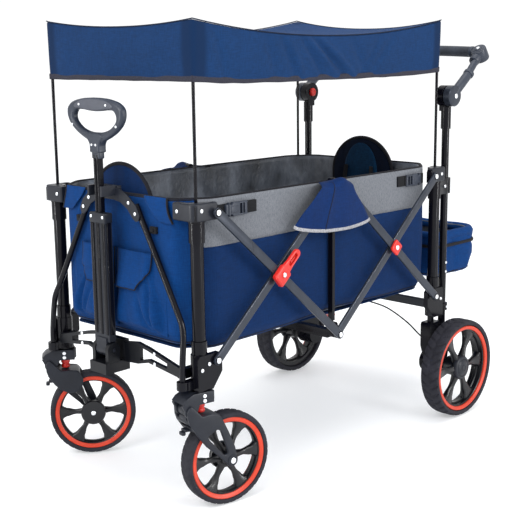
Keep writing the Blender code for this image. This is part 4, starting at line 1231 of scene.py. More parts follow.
def make_seat_back(end, sy):
    """Padded board: crowned towards the rider, flatter behind, with a bound edge."""
    body = end + "_top"
    middle = 0.4115
    outline = seat_outline()
    pad = seat_side("seat_back_pad_" + end, SEAT_CLOTH, body, outline, sy * middle, -sy, 0.0085)
    seat_side("seat_back_shell_" + end, OXFORD_SHADED, body, outline, sy * middle, sy, 0.0040)
    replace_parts(pad, "seat_back_" + end)
    thicken(pad, 0.0008)
    trim("seat_back_edge_" + end, [at(x, sy * middle, z) for x, z in outline], ring_section(0.0042, 12),
         BINDING, body, up=FORE_AFT)
    rows, columns = 22, 15
    panel = []
    for j in range(rows):
        z = 0.400 + 0.300 * math.sin(math.pi / 2 * j / (rows - 1)) ** 1.2
        half = 0.056 * math.sqrt(max(0.0002, 1 - max(0.0, (z - SEAT_SHOULDER) / 0.0805) ** 2))
        for i in range(columns):
            x = half * (2 * i / (columns - 1) - 1)
            reach = min(1.0, math.hypot(x / SEAT_HALF, (z - SEAT_CENTRE) / (SEAT_TOP - SEAT_CENTRE)))
            crown = 0.0028 + 0.0085 * (1 - reach ** 3.2) + 0.0018 * (1 - (x / 0.058) ** 2)
            panel.append(at(x, sy * middle - sy * crown, z))
    mesh_piece("seat_back_mesh_" + end, panel, grid_faces(rows, columns), MESH_CLOTH, body, thick=0.0016)
    verts, faces, sliders = [], [], []
    for sx in (1, -1):
        strap = curved_line([at(sx * x, sy * (middle - lift), z) for x, lift, z in HARNESS], 6)
        ribbon = [(a, b) for b, a in tape_section(0.020, 0.0024)]
        more_verts, more_faces = sweep(strap, ribbon, False, up=Vector((1, 0, 0)))
        faces += [tuple(len(verts) + k for k in face) for face in more_faces]
        verts += more_verts
        near, far = sorted((sy * (middle - 0.0245), sy * (middle - 0.0165)))
        for left, right, low, high in ((-0.014, 0.014, 0.556, 0.562), (-0.014, 0.014, 0.540, 0.546),
                                       (-0.014, -0.0105, 0.540, 0.562), (0.0105, 0.014, 0.540, 0.562)):
            x = sx * 0.050
            sliders.append(block((x + left, near, low), (x + right, far, high), 0.0012))
    mesh_piece("harness_straps_" + end, verts, faces, STRAP, body)
    assembled("harness_sliders_" + end, sliders, HANDLE_PLASTIC, body)


# ------------------------------------------------------------------ rear bag
BAG_MIDDLE = 0.587
BAG_TOP, BAG_LOW = 0.4640, 0.3420
BAG_HALF_X, BAG_HALF_Y = 0.198, 0.101
BAG_STEPS, RIM_STEPS = 110, 120


def bag_loop(scale_x, scale_y, z, corner=0.045, count=BAG_STEPS):
    """Rounded rectangle round the bag at one height, in evenly spaced places."""
    points = []
    hx, hy = BAG_HALF_X * scale_x, BAG_HALF_Y * scale_y
    for sx, sy, start in ((1, 1, 0), (-1, 1, 90), (-1, -1, 180), (1, -1, 270)):
        radius = corner if sy > 0 else corner * 0.35
        centre = (sx * (hx - radius), sy * (hy - radius))
        points += [Vector((u, v, z)) for u, v in arc(centre, radius, start, start + 90, 8)]
    dense = []
    for a, b in zip(points, points[1:] + points[:1]):
        pieces = max(1, round((b - a).length / 0.014))
        dense += [a.lerp(b, k / pieces) for k in range(pieces)]
    return resampled([at(p.x, p.y + BAG_MIDDLE, p.z) for p in dense], count)


def bag_trim(name, scales, z, section):
    """Tape or seam round the bag, in the binding's cloth."""
    trim(name, bag_loop(*scales, z, count=RIM_STEPS), section, BINDING, "rear_frame")


def make_rear_bag():
    """Sewn tray: padded rolled rim, a zip under it, sagging walls and floor, open at the top."""
    levels = ((BAG_TOP - 0.006, 0.985, 0.970), (0.4520, 1.0, 1.0), (0.4400, 1.0, 1.0),
              (0.4280, 0.992, 0.990), (0.4230, 0.980, 0.975), (0.4100, 0.985, 0.980),
              (0.3900, 0.985, 0.975), (0.3700, 0.975, 0.960), (0.3560, 0.960, 0.935),
              (0.3470, 0.940, 0.905), (BAG_LOW, 0.900, 0.860))
    verts = []
    for z, sx, sy in levels:
        below_rim = smooth(BAG_TOP, 0.44, z)
        for p in bag_loop(sx, sy, z):
            local = Vector((p.x, p.y - BASE_Y - BAG_MIDDLE, 0))
            fold = 0.0058 * ripple((p.x, p.y, z), (24, 24, 26), 3.0) * below_rim
            fold += 0.0036 * ripple((p.x, p.y, z), (60, 60, 34), 7.0) * below_rim
            sag = -0.006 * smooth(0.0, 0.10, local.y) * smooth(BAG_TOP, 0.40, z)
            verts.append(p + local.normalized() * (fold - 0.0015) + Vector((0, 0, sag * 0.5)))
    faces = [tuple(reversed(face)) for face in grid_faces(len(levels), BAG_STEPS, True)]
    bottom = verts[-BAG_STEPS:]
    middle = at(0, BAG_MIDDLE, BAG_LOW)
    for share in (0.75, 0.5, 0.25):
        base = len(verts)
        verts += [middle.lerp(p, share) + Vector((0, 0, -0.0010 * (1 - share))) for p in bottom]
        for k in range(BAG_STEPS):
            n = (k + 1) % BAG_STEPS
            faces.append((base - BAG_STEPS + k, base + k, base + n, base - BAG_STEPS + n))
    faces.append(tuple(range(len(verts) - BAG_STEPS, len(verts))))
    bag = mesh_piece("rear_bag_shell", verts, faces, OXFORD_LIT, "rear_frame", thick=0.0022)
    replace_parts(bag, "rear_bag")
    inside = ((BAG_TOP - 0.004, 0.90, 0.80), (0.440, 0.915, 0.83), (0.400, 0.91, 0.82),
              (0.360, 0.89, 0.79), (0.3485, 0.84, 0.72))
    verts = [p for z, sx, sy in inside for p in bag_loop(sx, sy, z, 0.035)]
    faces = grid_faces(len(inside), BAG_STEPS, True)
    faces.append(tuple(reversed(range(len(verts) - BAG_STEPS, len(verts)))))
    mesh_piece("rear_bag_lining", verts, faces, LINING, "rear_frame", thick=0.0012)
    rim = bag_loop(0.945, 0.90, BAG_TOP - 0.013, 0.042, RIM_STEPS)
    section = arc((0, 0), (0.0115, 0.0130), 0, 360, 16)[:-1]

    def plump(k):
        swell = 1 + 0.07 * ripple(rim[k], (30, 30, 5), 4.0) + 0.05 * ripple(rim[k], (95, 95, 5), 2.0)
        return [(a * swell, b * swell) for a, b in section]

    trim("rear_bag_rim", rim, plump, OXFORD_LIT, "rear_frame")
    bag_trim("rear_bag_zip", (0.992, 0.990), 0.4255, tape_section(0.0085, 0.0050))
    bag_trim("rear_bag_seam", (0.945, 0.912), 0.3480, ring_section(0.0016, 8))


# ------------------------------------------------------------------ wheels
POST_X, POST_Y = 0.234, 0.4127
FRONT_RADIUS, FRONT_WIDTH, TRAIL = 0.1016, 0.037, 0.058
REAR_RADIUS, REAR_WIDTH = 0.1270, 0.052
REAR_PLACE = (0.293, 0.4446, REAR_RADIUS)
# how far each caster is turned in the photo
STEER = {"R": math.radians(-11), "L": math.radians(-36)}
SPOKES = 6


def loft(rings):
    """Closed mesh through rings of the same number of points."""
    size = len(rings[0])
    verts = [tuple(p) for loop in rings for p in loop]
    faces = grid_faces(len(rings), size, True)
    faces.append(tuple(reversed(range(size))))
    faces.append(tuple(range((len(rings) - 1) * size, len(rings) * size)))
    mesh = bpy.data.meshes.new("loft")
    mesh.from_pydata(verts, [], faces)
    weld(mesh, 0.000001)
    return mesh


def tyre_mesh(radius, width, bore, centre, blocks, depth):
    """Carcass with chevron tread blocks and a channel round the middle."""
    half = width / 2
    mid = bore + (radius - bore) * 0.42
    profile = [(bore, -half * 0.80), (bore + 0.0012, -half * 0.93)]
    count = 30
    for k in range(count + 1):
        turn = math.radians(-90 + 180 * k / count)
        along = half * math.copysign(abs(math.sin(turn)) ** 0.62, math.sin(turn))
        profile.append((mid + (radius - mid) * abs(math.cos(turn)) ** 0.55, along))
    profile += [(bore + 0.0012, half * 0.93), (bore, half * 0.80)]

    def tread(i, along, angle):
        r = profile[i][0]
        if r < mid + (radius - mid) * 0.50:
            return 0.0
        share = abs(along) / half
        phase = blocks * angle / (2 * math.pi) + share * 0.75 + (0.5 if along > 0 else 0.0)
        groove = phase % 1.0 < 0.26 or share < 0.06
        return depth if groove else 0.0

    return lathe(profile, blocks * 8, centre, "X", tread)


def spoke(centre, angle, inner, outer, wide, deep, twist, dish):
    """Twisted blade, flared towards the rim; wide and deep are (share, half size) tables."""
    rings = []
    steps = 12
    for k in range(steps + 1):
        s = k / steps
        across, thick = table(s, wide), table(s, deep)
        turn = math.radians(twist) * (1 - smooth(0.1, 0.9, s))
        loop = []
        for n in range(16):
            spin = 2 * math.pi * n / 16
            a = thick * math.copysign(abs(math.cos(spin)) ** 0.6, math.cos(spin))
            b = across * math.copysign(abs(math.sin(spin)) ** 0.6, math.sin(spin))
            point = Vector((dish * (1 - s) + a * math.cos(turn) - b * math.sin(turn),
                            a * math.sin(turn) + b * math.cos(turn), inner + (outer - inner) * s))
            loop.append(Matrix.Rotation(angle, 3, "X") @ point + Vector(centre))
        rings.append(loop)
    return loft(rings)


def spokes(centre, inner, outer, wide, deep, twist, dish=0.0):
    """The blades of one wheel."""
    return [spoke(centre, 2 * math.pi * (k + 0.5) / SPOKES, inner, outer, wide, deep, twist, dish)
            for k in range(SPOKES)]


def ring_profile(inner, outer, low, high, soft):
    """Closed profile of a ring with softened corners."""
    return [(inner, low + soft), (inner + soft, low), (outer - soft, low), (outer, low + soft),
            (outer, high - soft), (outer - soft, high), (inner + soft, high), (inner, high - soft)]


def disc_profile(radius, low, high, soft, crown=0.0):
    """Closed profile of a solid turned disc, crowned on the high face."""
    return [(0.0002, low), (radius - soft, low), (radius, low + soft), (radius, high - soft),
            (radius - soft, high), (radius * 0.6, high + crown * 0.7), (0.0002, high + crown)]


def make_rear_wheel(side, sign):
    """Treaded tyre, orange ring, six-spoke rim and hub cap."""
    centre = at(*REAR_PLACE)
    body = "rear_wheel_" + side
    bore = REAR_RADIUS - 0.0140
    assembled("rear_tyre_tread_" + side, [tyre_mesh(REAR_RADIUS, REAR_WIDTH, bore, centre, 34, 0.0026)],
              RUBBER, body, sign, replaces=["rear_tyre_" + side], sharp=30)
    face = REAR_WIDTH * 0.37
    rings = [lathe([(0.1025, face - 0.004), (0.1118, face - 0.004), (0.1118, face + 0.0030),
                    (0.1104, face + 0.0042), (0.1040, face + 0.0030), (0.1025, face + 0.0014)], 96, centre)]
    assembled("rear_orange_ring_" + side, rings, ORANGE, body, sign)
    parts = [lathe(ring_profile(0.0990, bore - 0.0006, -face + 0.002, face - 0.002, 0.0015), 96, centre),
             lathe(ring_profile(0.0945, 0.1000, -0.0050, 0.0050, 0.0015), 96, centre),
             lathe(disc_profile(0.0250, -0.0270, 0.0130, 0.003), 48, centre)]
    parts += spokes(centre, 0.018, 0.1000, ((0, 0.0095), (0.35, 0.0065), (0.75, 0.0125), (1, 0.0250)),
                    ((0, 0.0110), (0.5, 0.0060), (1, 0.0125)), 22, 0.006)
    assembled("rear_wheel_spokes_" + side, parts, SPOKE_PLASTIC, body, sign, replaces=["rear_rim_" + side])
    cap = [lathe([(0.0002, 0.0080), (0.0300, 0.0080), (0.0315, 0.0100), (0.0312, 0.0160), (0.0295, 0.0188),
                  (0.0270, 0.0200), (0.0235, 0.0202), (0.0225, 0.0190), (0.0215, 0.0204), (0.0150, 0.0226),
                  (0.0080, 0.0236), (0.0002, 0.0238)], 64, centre),
           lathe(ring_profile(0.0075, 0.0092, 0.0226, 0.0243, 0.0005), 48, centre)]
    assembled("rear_hub_cap_" + side, cap, PLASTIC, body, sign)


def make_front_wheel(side, sign, place):
    """Treaded tyre, an orange ring on each face, and a six-spoke rim with a disc on its inner face."""
    centre = at(0, TRAIL, FRONT_RADIUS)
    body = "front_wheel_" + side
    bore = FRONT_RADIUS - 0.0120
    assembled("front_tyre_tread_" + side, [tyre_mesh(FRONT_RADIUS, FRONT_WIDTH, bore, centre, 36, 0.0012)],
              RUBBER, body, place=place, replaces=["front_tyre_" + side], sharp=30)
    face = FRONT_WIDTH * 0.37
    ring = [(0.0800, face - 0.003), (0.0896, face - 0.003), (0.0896, face + 0.0016),
            (0.0880, face + 0.0028), (0.0815, face + 0.0012), (0.0800, face)]
    inner_ring = [(radius, -along) for radius, along in reversed(ring)]
    rings = [lathe(ring, 96, centre), lathe(inner_ring, 96, centre)]
    assembled("front_orange_ring_" + side, rings, ORANGE, body, place=place)
    hub_half = FRONT_WIDTH / 2 + 0.0018
    parts = [lathe(ring_profile(0.0782, bore - 0.0006, -face + 0.002, face - 0.002, 0.0012), 96, centre),
             lathe(ring_profile(0.0745, 0.0790, -0.0035, 0.0035, 0.0012), 96, centre),
             lathe(disc_profile(0.0165, -hub_half, hub_half, 0.0020), 40, centre),
             lathe(disc_profile(0.0225, -0.0080, 0.0080, 0.0025), 56, centre)]
    parts += spokes(centre, 0.016, 0.0790, ((0, 0.0085), (0.40, 0.0060), (0.75, 0.0105), (1, 0.0200)),
                    ((0, 0.0095), (0.5, 0.0050), (1, 0.0095)), 24)
    inner_disc = ((0.0002, 0.0090), (0.0285, 0.0090), (0.0295, 0.0110), (0.0295, 0.0175),
                  (0.0280, 0.0198), (0.0120, 0.0204), (0.0002, 0.0204))
    parts.append(lathe([(radius, -sign * along) for radius, along in inner_disc], 64, centre))
    assembled("front_wheel_spokes_" + side, parts, SPOKE_PLASTIC, body, place=place,
              replaces=["front_rim_" + side])


# ------------------------------------------------------------------ casters
FORK_PIVOT = (-0.035, 0.226)
HEAD_TOP = 0.2621
BUMPER_TOP = 0.2362


def make_head(side, body, place):
    """Swivel head: two cheeks joined by a shoulder, the stem, the red bumper and the screws."""
    outline = ([(0.0200, HEAD_TOP), (-0.0300, HEAD_TOP), (-0.0480, 0.2530), (-0.0560, 0.2400)]
               + arc(FORK_PIVOT, 0.0155, 170, 330, 16) + [(-0.0150, 0.2370), (0.0200, 0.2370)])
    shoulder = [(y, max(z, 0.2442)) for y, z in outline]
    head = [slab([outline], 0.0150, 0.0235, 0.0022, 3), slab([outline], -0.0235, -0.0150, 0.0022, 3),
            slab([shoulder], -0.0232, 0.0232, 0.0010, 2),
            lathe(disc_profile(0.0240, 0.2372, HEAD_TOP, 0.0022), 40, at(0, 0, 0), "Z"),
            lathe(ring_profile(0.0060, 0.0200, HEAD_TOP - 0.004, HEAD_TOP, 0.0010), 40, at(0, 0, 0), "Z"),
            bar(at(0, 0, 0.2400), at(0, 0, 0.2890), 0.0060)]
    assembled("caster_head_shell_" + side, head, PLASTIC, body, place=place,
              replaces=["caster_head_" + side])
    bumper = [(0.0002, 0.2140), (0.0080, 0.2140), (0.0100, 0.2155), (0.0106, 0.2180), (0.0100, 0.2215),
              (0.0082, 0.2232), (0.0082, 0.2248), (0.0102, 0.2265), (0.0107, 0.2300), (0.0103, 0.2345),
              (0.0085, BUMPER_TOP), (0.0002, BUMPER_TOP)]
    rubber = assembled("caster_bumper_rubber_" + side, [lathe(bumper, 36, at(0, -0.002, 0), "Z")], RED,
                       body, place=place, replaces=["caster_bumper_" + side])
    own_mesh(rubber)
    spots = ((-0.004, 0.2545, 0.0042), (-0.004, 0.2440, 0.0042), (*FORK_PIVOT, 0.0062))
    screws = [knob(at(face * 0.0234, y, z), (face, 0, 0), radius, 0.0026)
              for face in (1, -1) for y, z, radius in spots]
    assembled("caster_head_screws_" + side, screws, STEEL, body, place=place)


def make_fork(side, sign, body, place):
    """One-sided fork with a window, its inner cheek, the axle bolt and the foot lock."""
    axle = (TRAIL, FRONT_RADIUS)
    leg_in = FRONT_WIDTH / 2 + 0.0035
    leg_out = leg_in + 0.0075
    shoulder = arc(FORK_PIVOT, 0.0130, 100, 190, 8) + [(-0.0470, 0.2120), (-0.0420, 0.1980)]
    neck = [(0.0380, 0.1930), (0.0310, 0.2050), (0.0240, 0.2120), (0.0060, 0.2140), (-0.0120, 0.2120)]
    leg = (shoulder + [(-0.0240, 0.1700), (-0.0040, 0.1440), (0.0240, 0.1180), (0.0400, 0.1010)]
           + arc(axle, 0.0142, 215, 385, 18) + [(0.0660, 0.1300), (0.0520, 0.1640)] + neck)
    window = [(0.0000, 0.1640), (0.0040, 0.1690), (0.0220, 0.1760), (0.0270, 0.1755), (0.0310, 0.1710),
              (0.0475, 0.1240), (0.0470, 0.1195), (0.0420, 0.1175), (0.0370, 0.1190), (0.0040, 0.1570)]
    crown = [(-0.0150, 0.2130), (-0.0330, 0.2110), (-0.0430, 0.2060), (-0.0440, 0.2010), (-0.0400, 0.1960),
             (0.0310, 0.2035), (0.0290, 0.2080), (0.0240, 0.2120)]
    cheek = (shoulder + [(-0.0290, 0.1790), (-0.0140, 0.1650), (0.0020, 0.1580), (0.0170, 0.1575),
                         (0.0300, 0.1650), (0.0370, 0.1780)] + neck)
    inner_cheek = sorted((-sign * leg_out, -sign * leg_in))
    outer_leg = sorted((sign * leg_in, sign * leg_out))
    boss = sorted((sign * (leg_out - 0.001), sign * (leg_out + 0.0018)))
    fork = [slab([leg, window], *outer_leg, 0.0026, 3), slab([cheek], *inner_cheek, 0.0026, 3),
            slab([crown], -leg_out + 0.0005, leg_out - 0.0005, 0.0026, 3),
            bar(at(-0.0140, *FORK_PIVOT), at(0.0140, *FORK_PIVOT), 0.0128, 36),
            bar(at(-0.0140, FORK_PIVOT[0], 0.209), at(0.0140, FORK_PIVOT[0], 0.209), 0.009, 28),
            lathe(ring_profile(0.0060, 0.0118, *boss, 0.0008), 36, at(0, *axle))]
    assembled("caster_fork_shell_" + side, fork, PLASTIC, body, place=place,
              replaces=["caster_fork_" + side])
    inner_face = FRONT_WIDTH / 2 + 0.0020
    bolts = [bar(at(-sign * inner_face, *axle), at(sign * (leg_out + 0.0015), *axle), 0.0046),
             knob(at(sign * (leg_out + 0.0010), *axle), (sign, 0, 0), 0.0064, 0.0036, 0.3),
             knob(at(-sign * (inner_face - 0.0004), *axle), (-sign, 0, 0), 0.0054, 0.0030, 0.3)]
    assembled("caster_axle_bolts_" + side, bolts, STEEL, body, place=place)
    lock = [block((-0.0090, -0.0440, 0.1790), (0.0090, -0.0260, 0.1850), 0.0022),
            block((-0.0075, -0.0500, 0.1720), (0.0075, -0.0410, 0.1800), 0.0022),
            bar(at(-0.0215, -0.0290, 0.1840), at(0.0215, -0.0290, 0.1840), 0.0040)]
    assembled("caster_foot_lock_" + side, lock, PLASTIC, body, place=place)


def make_caster(side, sign):
    """A front wheel assembly, turned to the angle it has in the photo."""
    place = (Matrix.Translation(at(sign * POST_X, -POST_Y, 0)) @ Matrix.Rotation(STEER[side], 4, "Z")
             @ Matrix.Translation((0, -BASE_Y, 0)))
    make_head(side, "caster_" + side, place)
    make_fork(side, sign, "caster_fork_" + side, place)
    make_front_wheel(side, sign, place)


# ------------------------------------------------------------------ side scissors
PIVOT_Y, PIVOT_TOP, PIVOT_BOTTOM, MIDDLE_LOW_Z = 0.383, 0.631, 0.322, 0.300
CROSS_Z = (PIVOT_TOP + PIVOT_BOTTOM) / 2
MIDDLE_TOP_Z = 2 * CROSS_Z - MIDDLE_LOW_Z
CROSS_Y = PIVOT_Y * (CROSS_Z - MIDDLE_LOW_Z) / ((PIVOT_TOP - CROSS_Z) + (CROSS_Z - MIDDLE_LOW_Z))
ARM_T, ARM_HALF = 0.0070, 0.0100
INNER_ARM = 0.2538
OUTER_ARM = INNER_ARM + ARM_T + 0.0008
LATCH_SLOPE = 41


def arm_outline(start, end):
    """Flat bar with a round end at each of two pivots."""
    along = math.degrees(math.atan2(end[1] - start[1], end[0] - start[0]))
    return (arc(start, ARM_HALF, along + 90, along + 270, 18)
            + arc(end, ARM_HALF, along - 90, along + 90, 18))


def make_arms(side, sign):
    """Four flat arms in two layers, with the rivets and washers of the outer ends."""
    low, top = (0.0, MIDDLE_LOW_Z), (0.0, MIDDLE_TOP_Z)
    front_low, front_top = (-PIVOT_Y, PIVOT_BOTTOM), (-PIVOT_Y, PIVOT_TOP)
    rear_low, rear_top = (PIVOT_Y, PIVOT_BOTTOM), (PIVOT_Y, PIVOT_TOP)
    for name, start, end, layer, rivets in (("front_rising_", front_low, top, INNER_ARM, (front_low,)),
                                            ("front_falling_", front_top, low, OUTER_ARM, (front_top, low)),
                                            ("rear_falling_", top, rear_low, OUTER_ARM, (top, rear_low)),
                                            ("rear_rising_", low, rear_top, INNER_ARM, (rear_top,))):
        node = "arm_" + name + side
        body = body_of(node)
        face = layer + ARM_T
        assembled(node + "_bar", [slab([arm_outline(start, end)], layer, face, 0.0019, 3)], GREY_METAL,
                  body, sign, replaces=[node])
        heads = [knob(at(face - 0.0003, *spot), (1, 0, 0), 0.0062, 0.0027) for spot in rivets]
        washer = ring_profile(0.0060, 0.0088, face - 0.0003, face + 0.0008, 0.0003)
        collars = [lathe(washer, 32, at(0, *spot)) for spot in rivets]
        assembled(node + "_rivets", heads, STEEL, body, sign)
        assembled(node + "_washers", collars, BLACK_METAL, body, sign)


def turned_outline(outline, centre, degrees):
    """A flat outline turned about the plane's origin and moved to a centre."""
    angle = math.radians(degrees)
    along = Vector((math.cos(angle), math.sin(angle)))
    across = Vector((-along.y, along.x))
    spots = [Vector(centre) + along * u + across * v for u, v in outline]
    return [(spot.x, spot.y) for spot in spots]


def make_latch(side, sign):
    """Red lever latch on the front crossing."""
    face = OUTER_ARM + ARM_T + 0.0006
    cross = (-CROSS_Y, CROSS_Z)
    base = [(0.0150, 0.0150), (0.0120, 0.0170), (-0.0190, 0.0170), (-0.0225, 0.0140), (-0.0225, -0.0140),
            (-0.0190, -0.0170), (0.0120, -0.0170), (0.0160, -0.0140)]
    lever = ([(0.0120, -0.0130), (0.0300, -0.0102)] + arc((0.0600, 0), 0.0098, -90, 90, 9)
             + [(0.0300, 0.0108), (0.0120, 0.0140)])
    recess = arc((0.0320, 0), 0.0052, 90, 270, 9) + arc((0.0540, 0), 0.0050, -90, 90, 9)
    rib = [(0.0345, -0.0018), (0.0345, 0.0018), (0.0500, 0.0018), (0.0500, -0.0018)]
    ridge = [(-0.0205, -0.0120), (-0.0165, -0.0120), (-0.0165, 0.0120), (-0.0205, 0.0120)]
    latch = []
    for outlines, low, high, soft, steps in (((base,), 0.0, 0.0125, 0.0030, 3),
                                             ((lever, recess), 0.0010, 0.0095, 0.0022, 3),
                                             ((recess,), 0.0015, 0.0035, 0.0004, 1),
                                             ((rib,), 0.0030, 0.0075, 0.0008, 2),
                                             ((ridge,), 0.0110, 0.0140, 0.0010, 2)):
        shapes = [turned_outline(outline, cross, LATCH_SLOPE) for outline in outlines]
        latch.append(slab(shapes, face + low, face + high, soft, steps))
    latch.append(lathe(ring_profile(0.0062, 0.0088, 0.0115, 0.0138, 0.0006), 40, at(face, *cross)))
    node = "scissor_latch_" + side
    assembled(node + "_shell", latch, RED, body_of(node), sign, replaces=[node])
    assembled(node + "_rivet", [knob(at(face + 0.0126, *cross), (1, 0, 0), 0.0052, 0.0022)], STEEL,
              body_of(node), sign)


def make_crossing_cap(side, sign):
    """Square red cap on the rear crossing."""
    body = body_of("arm_rear_falling_" + side)
    face = OUTER_ARM + ARM_T
    square = []
    for sx, sz, start in ((1, 1, 0), (-1, 1, 90), (-1, -1, 180), (1, -1, 270)):
        square += arc((sx * 0.0100, sz * 0.0100), 0.0050, start, start + 90, 6)
    square = turned_outline(square, (CROSS_Y, CROSS_Z), -LATCH_SLOPE)
    assembled("rear_crossing_cap_" + side, [slab([square], face - 0.0003, face + 0.0065, 0.0020, 3)], RED,
              body, sign)
    rivet = knob(at(face + 0.0062, CROSS_Y, CROSS_Z), (1, 0, 0), 0.0058, 0.0024)
    assembled("rear_crossing_rivet_" + side, [rivet], STEEL, body, sign)


# ------------------------------------------------------------------ handles and round tubes
PUSH_Y, PUSH_HUB_Z = 0.457, 0.828
GRIP_Y, GRIP_Z = 0.597, 0.932
# down the right bent tube, and along the right half of the brake cable
BENT_TUBE = ((0.0800, -0.4400, 0.6360), (0.0974, -0.4400, 0.6050), (0.1170, -0.4402, 0.5720),
             (0.1370, -0.4405, 0.5380), (0.1580, -0.4408, 0.5020), (0.1790, -0.4412, 0.4660),
             (0.2000, -0.4420, 0.4310), (0.2080, -0.4425, 0.4180), (0.2165, -0.4435, 0.4040),
             (0.2215, -0.4450, 0.3900), (0.2238, -0.4465, 0.3720), (0.2245, -0.4490, 0.3500),
             (0.2250, -0.4520, 0.3180), (0.2250, -0.4530, 0.2950), (0.2250, -0.4530, 0.2725))
BRAKE_CABLE = ((0.0, 0.4010, 0.2700), (0.0450, 0.4010, 0.2690), (0.1000, 0.4020, 0.2600),
               (0.1600, 0.4040, 0.2330), (0.1980, 0.4050, 0.2070), (0.2116, 0.4050, 0.2000))


def make_tubes():
    """Canopy poles, the two bent tubes at the front and the brake cable."""
    for side, sign in SIDES:
        for end, end_sign in ENDS:
            node = "canopy_pole_" + end + "_" + side
            foot, top = (at(POST_X, end_sign * POST_Y, z) for z in (0.5600, 1.0040))
            assembled(node + "_rod", [bar(foot, top, 0.0035, 20)], BLACK_METAL, body_of(node), sign,
                      replaces=[node])
        node = "front_bent_tube_" + side
        line = curved_line([at(sign * x, y, z) for x, y, z in BENT_TUBE])
        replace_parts(tube(node + "_pipe", line, 0.0065, BLACK_METAL, body_of(node), 6), node)
    knots = [(-x, y, z) for x, y, z in reversed(BRAKE_CABLE[1:])] + list(BRAKE_CABLE)
    cable = tube("brake_cable_sheath", curved_line([at(*knot) for knot in knots]), 0.0020, STRAP,
                 "rear_frame", 4)
    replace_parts(cable, "brake_cable")


def both_halves(points):
    """Smooth closed outline from its half with x at or above 0."""
    other_half = [(-x, z) for x, z in reversed(points) if x > 0]
    knots = [Vector((x, z, 0)) for x, z in list(points) + other_half]
    return [(p.x, p.y) for p in closed_curve(knots, 5)]


def make_pull_handle():
    """Ribbed housing, sliding twin tube, and the D-shaped grip with its insert and screws."""
    skin("pull_handle_housing", PLASTIC, 0.0016)
    skin("pull_handle_tube", BLACK_METAL, 0.0014)
    ring_outer = ((0.0130, 0.7440), (0.0145, 0.7560), (0.0240, 0.7660), (0.0450, 0.7752), (0.0650, 0.7858),
                  (0.0820, 0.7995), (0.0905, 0.8124), (0.0930, 0.8248), (0.0895, 0.8370), (0.0740, 0.8475),
                  (0.0450, 0.8538), (0.0200, 0.8558), (0.0, 0.8562))
    ring_inner = ((0.0, 0.7845), (0.0200, 0.7855), (0.0380, 0.7893), (0.0530, 0.7955), (0.0670, 0.8060),
                  (0.0715, 0.8150), (0.0690, 0.8235), (0.0600, 0.8305), (0.0400, 0.8310), (0.0200, 0.8290),
                  (0.0, 0.8282))
    insert = ((0.0, 0.8545), (0.0320, 0.8525), (0.0550, 0.8465), (0.0650, 0.8395), (0.0600, 0.8345),
              (0.0420, 0.8335), (0.0200, 0.8310), (0.0, 0.8302))
    neck = ((0.0135, 0.7430), (0.0155, 0.7500), (0.0165, 0.7600), (0.0230, 0.7690), (0.0300, 0.7760),
            (0.0200, 0.7830), (0.0, 0.7840))
    grip = [slab([both_halves(ring_outer), both_halves(ring_inner)], -0.4810, -0.4630, 0.0072, 6, "XZ"),
            slab([both_halves(neck)], -0.4830, -0.4610, 0.0042, 4, "XZ"),
            block((-0.0128, -0.4795, 0.7300), (0.0128, -0.4645, 0.7450), 0.0024)]
    body = body_of("pull_handle_grip")
    assembled("pull_grip_frame", grip, HANDLE_PLASTIC, body, replaces=["pull_handle_grip"])
    assembled("pull_grip_insert", [slab([both_halves(insert)], -0.4828, -0.4612, 0.0030, 4, "XZ")],
              GRIP_RUBBER, body)
    heads = [knob(at(sx * x, y, z), (0, -1, 0), 0.0028, 0.0018)
             for x, y, z in ((0.0450, -0.4826, 0.8420), (0.0735, -0.4806, 0.7995), (0.0066, -0.4826, 0.7593))
             for sx in (-1, 1)]
    assembled("pull_grip_screws", heads, STEEL, body)
    screws = [knob(at(x, -0.4828, 0.6078), (0, -1, 0), 0.0032, 0.0018) for x in (-0.0195, 0.0195)]
    foot, top = 0.3520, 0.5960
    rails = [block((x - 0.0055, -0.4832, foot), (x + 0.0055, -0.4790, top), 0.0024)
             for x in (-0.0185, 0.0, 0.0185)]
    rails += [block((x - 0.0014, -0.4772, foot), (x + 0.0014, -0.4668, top), 0.0010)
              for x in (0.0258, -0.0258)]
    collar = [block((-0.0265, -0.4830, 0.5940), (0.0265, -0.4610, 0.6165), 0.0030)]
    body = body_of("pull_handle_housing")
    assembled("pull_housing_screws", screws, STEEL, body)
    assembled("pull_housing_collar", collar, PLASTIC, body)
    assembled("pull_housing_rails", rails, BLACK_METAL, body)
    runners = [bar(at(x, -0.4762, 0.6050), at(x, -0.4762, 0.7380), 0.0042, 20) for x in (-0.0050, 0.0050)]
    assembled("pull_tube_runners", runners, BLACK_METAL, body_of("pull_handle_tube"))


def grip_line(x):
    """How far the push bar's grip bows out at a place across it, as a share of its middle."""
    return 1 - (x / 0.225) ** 2


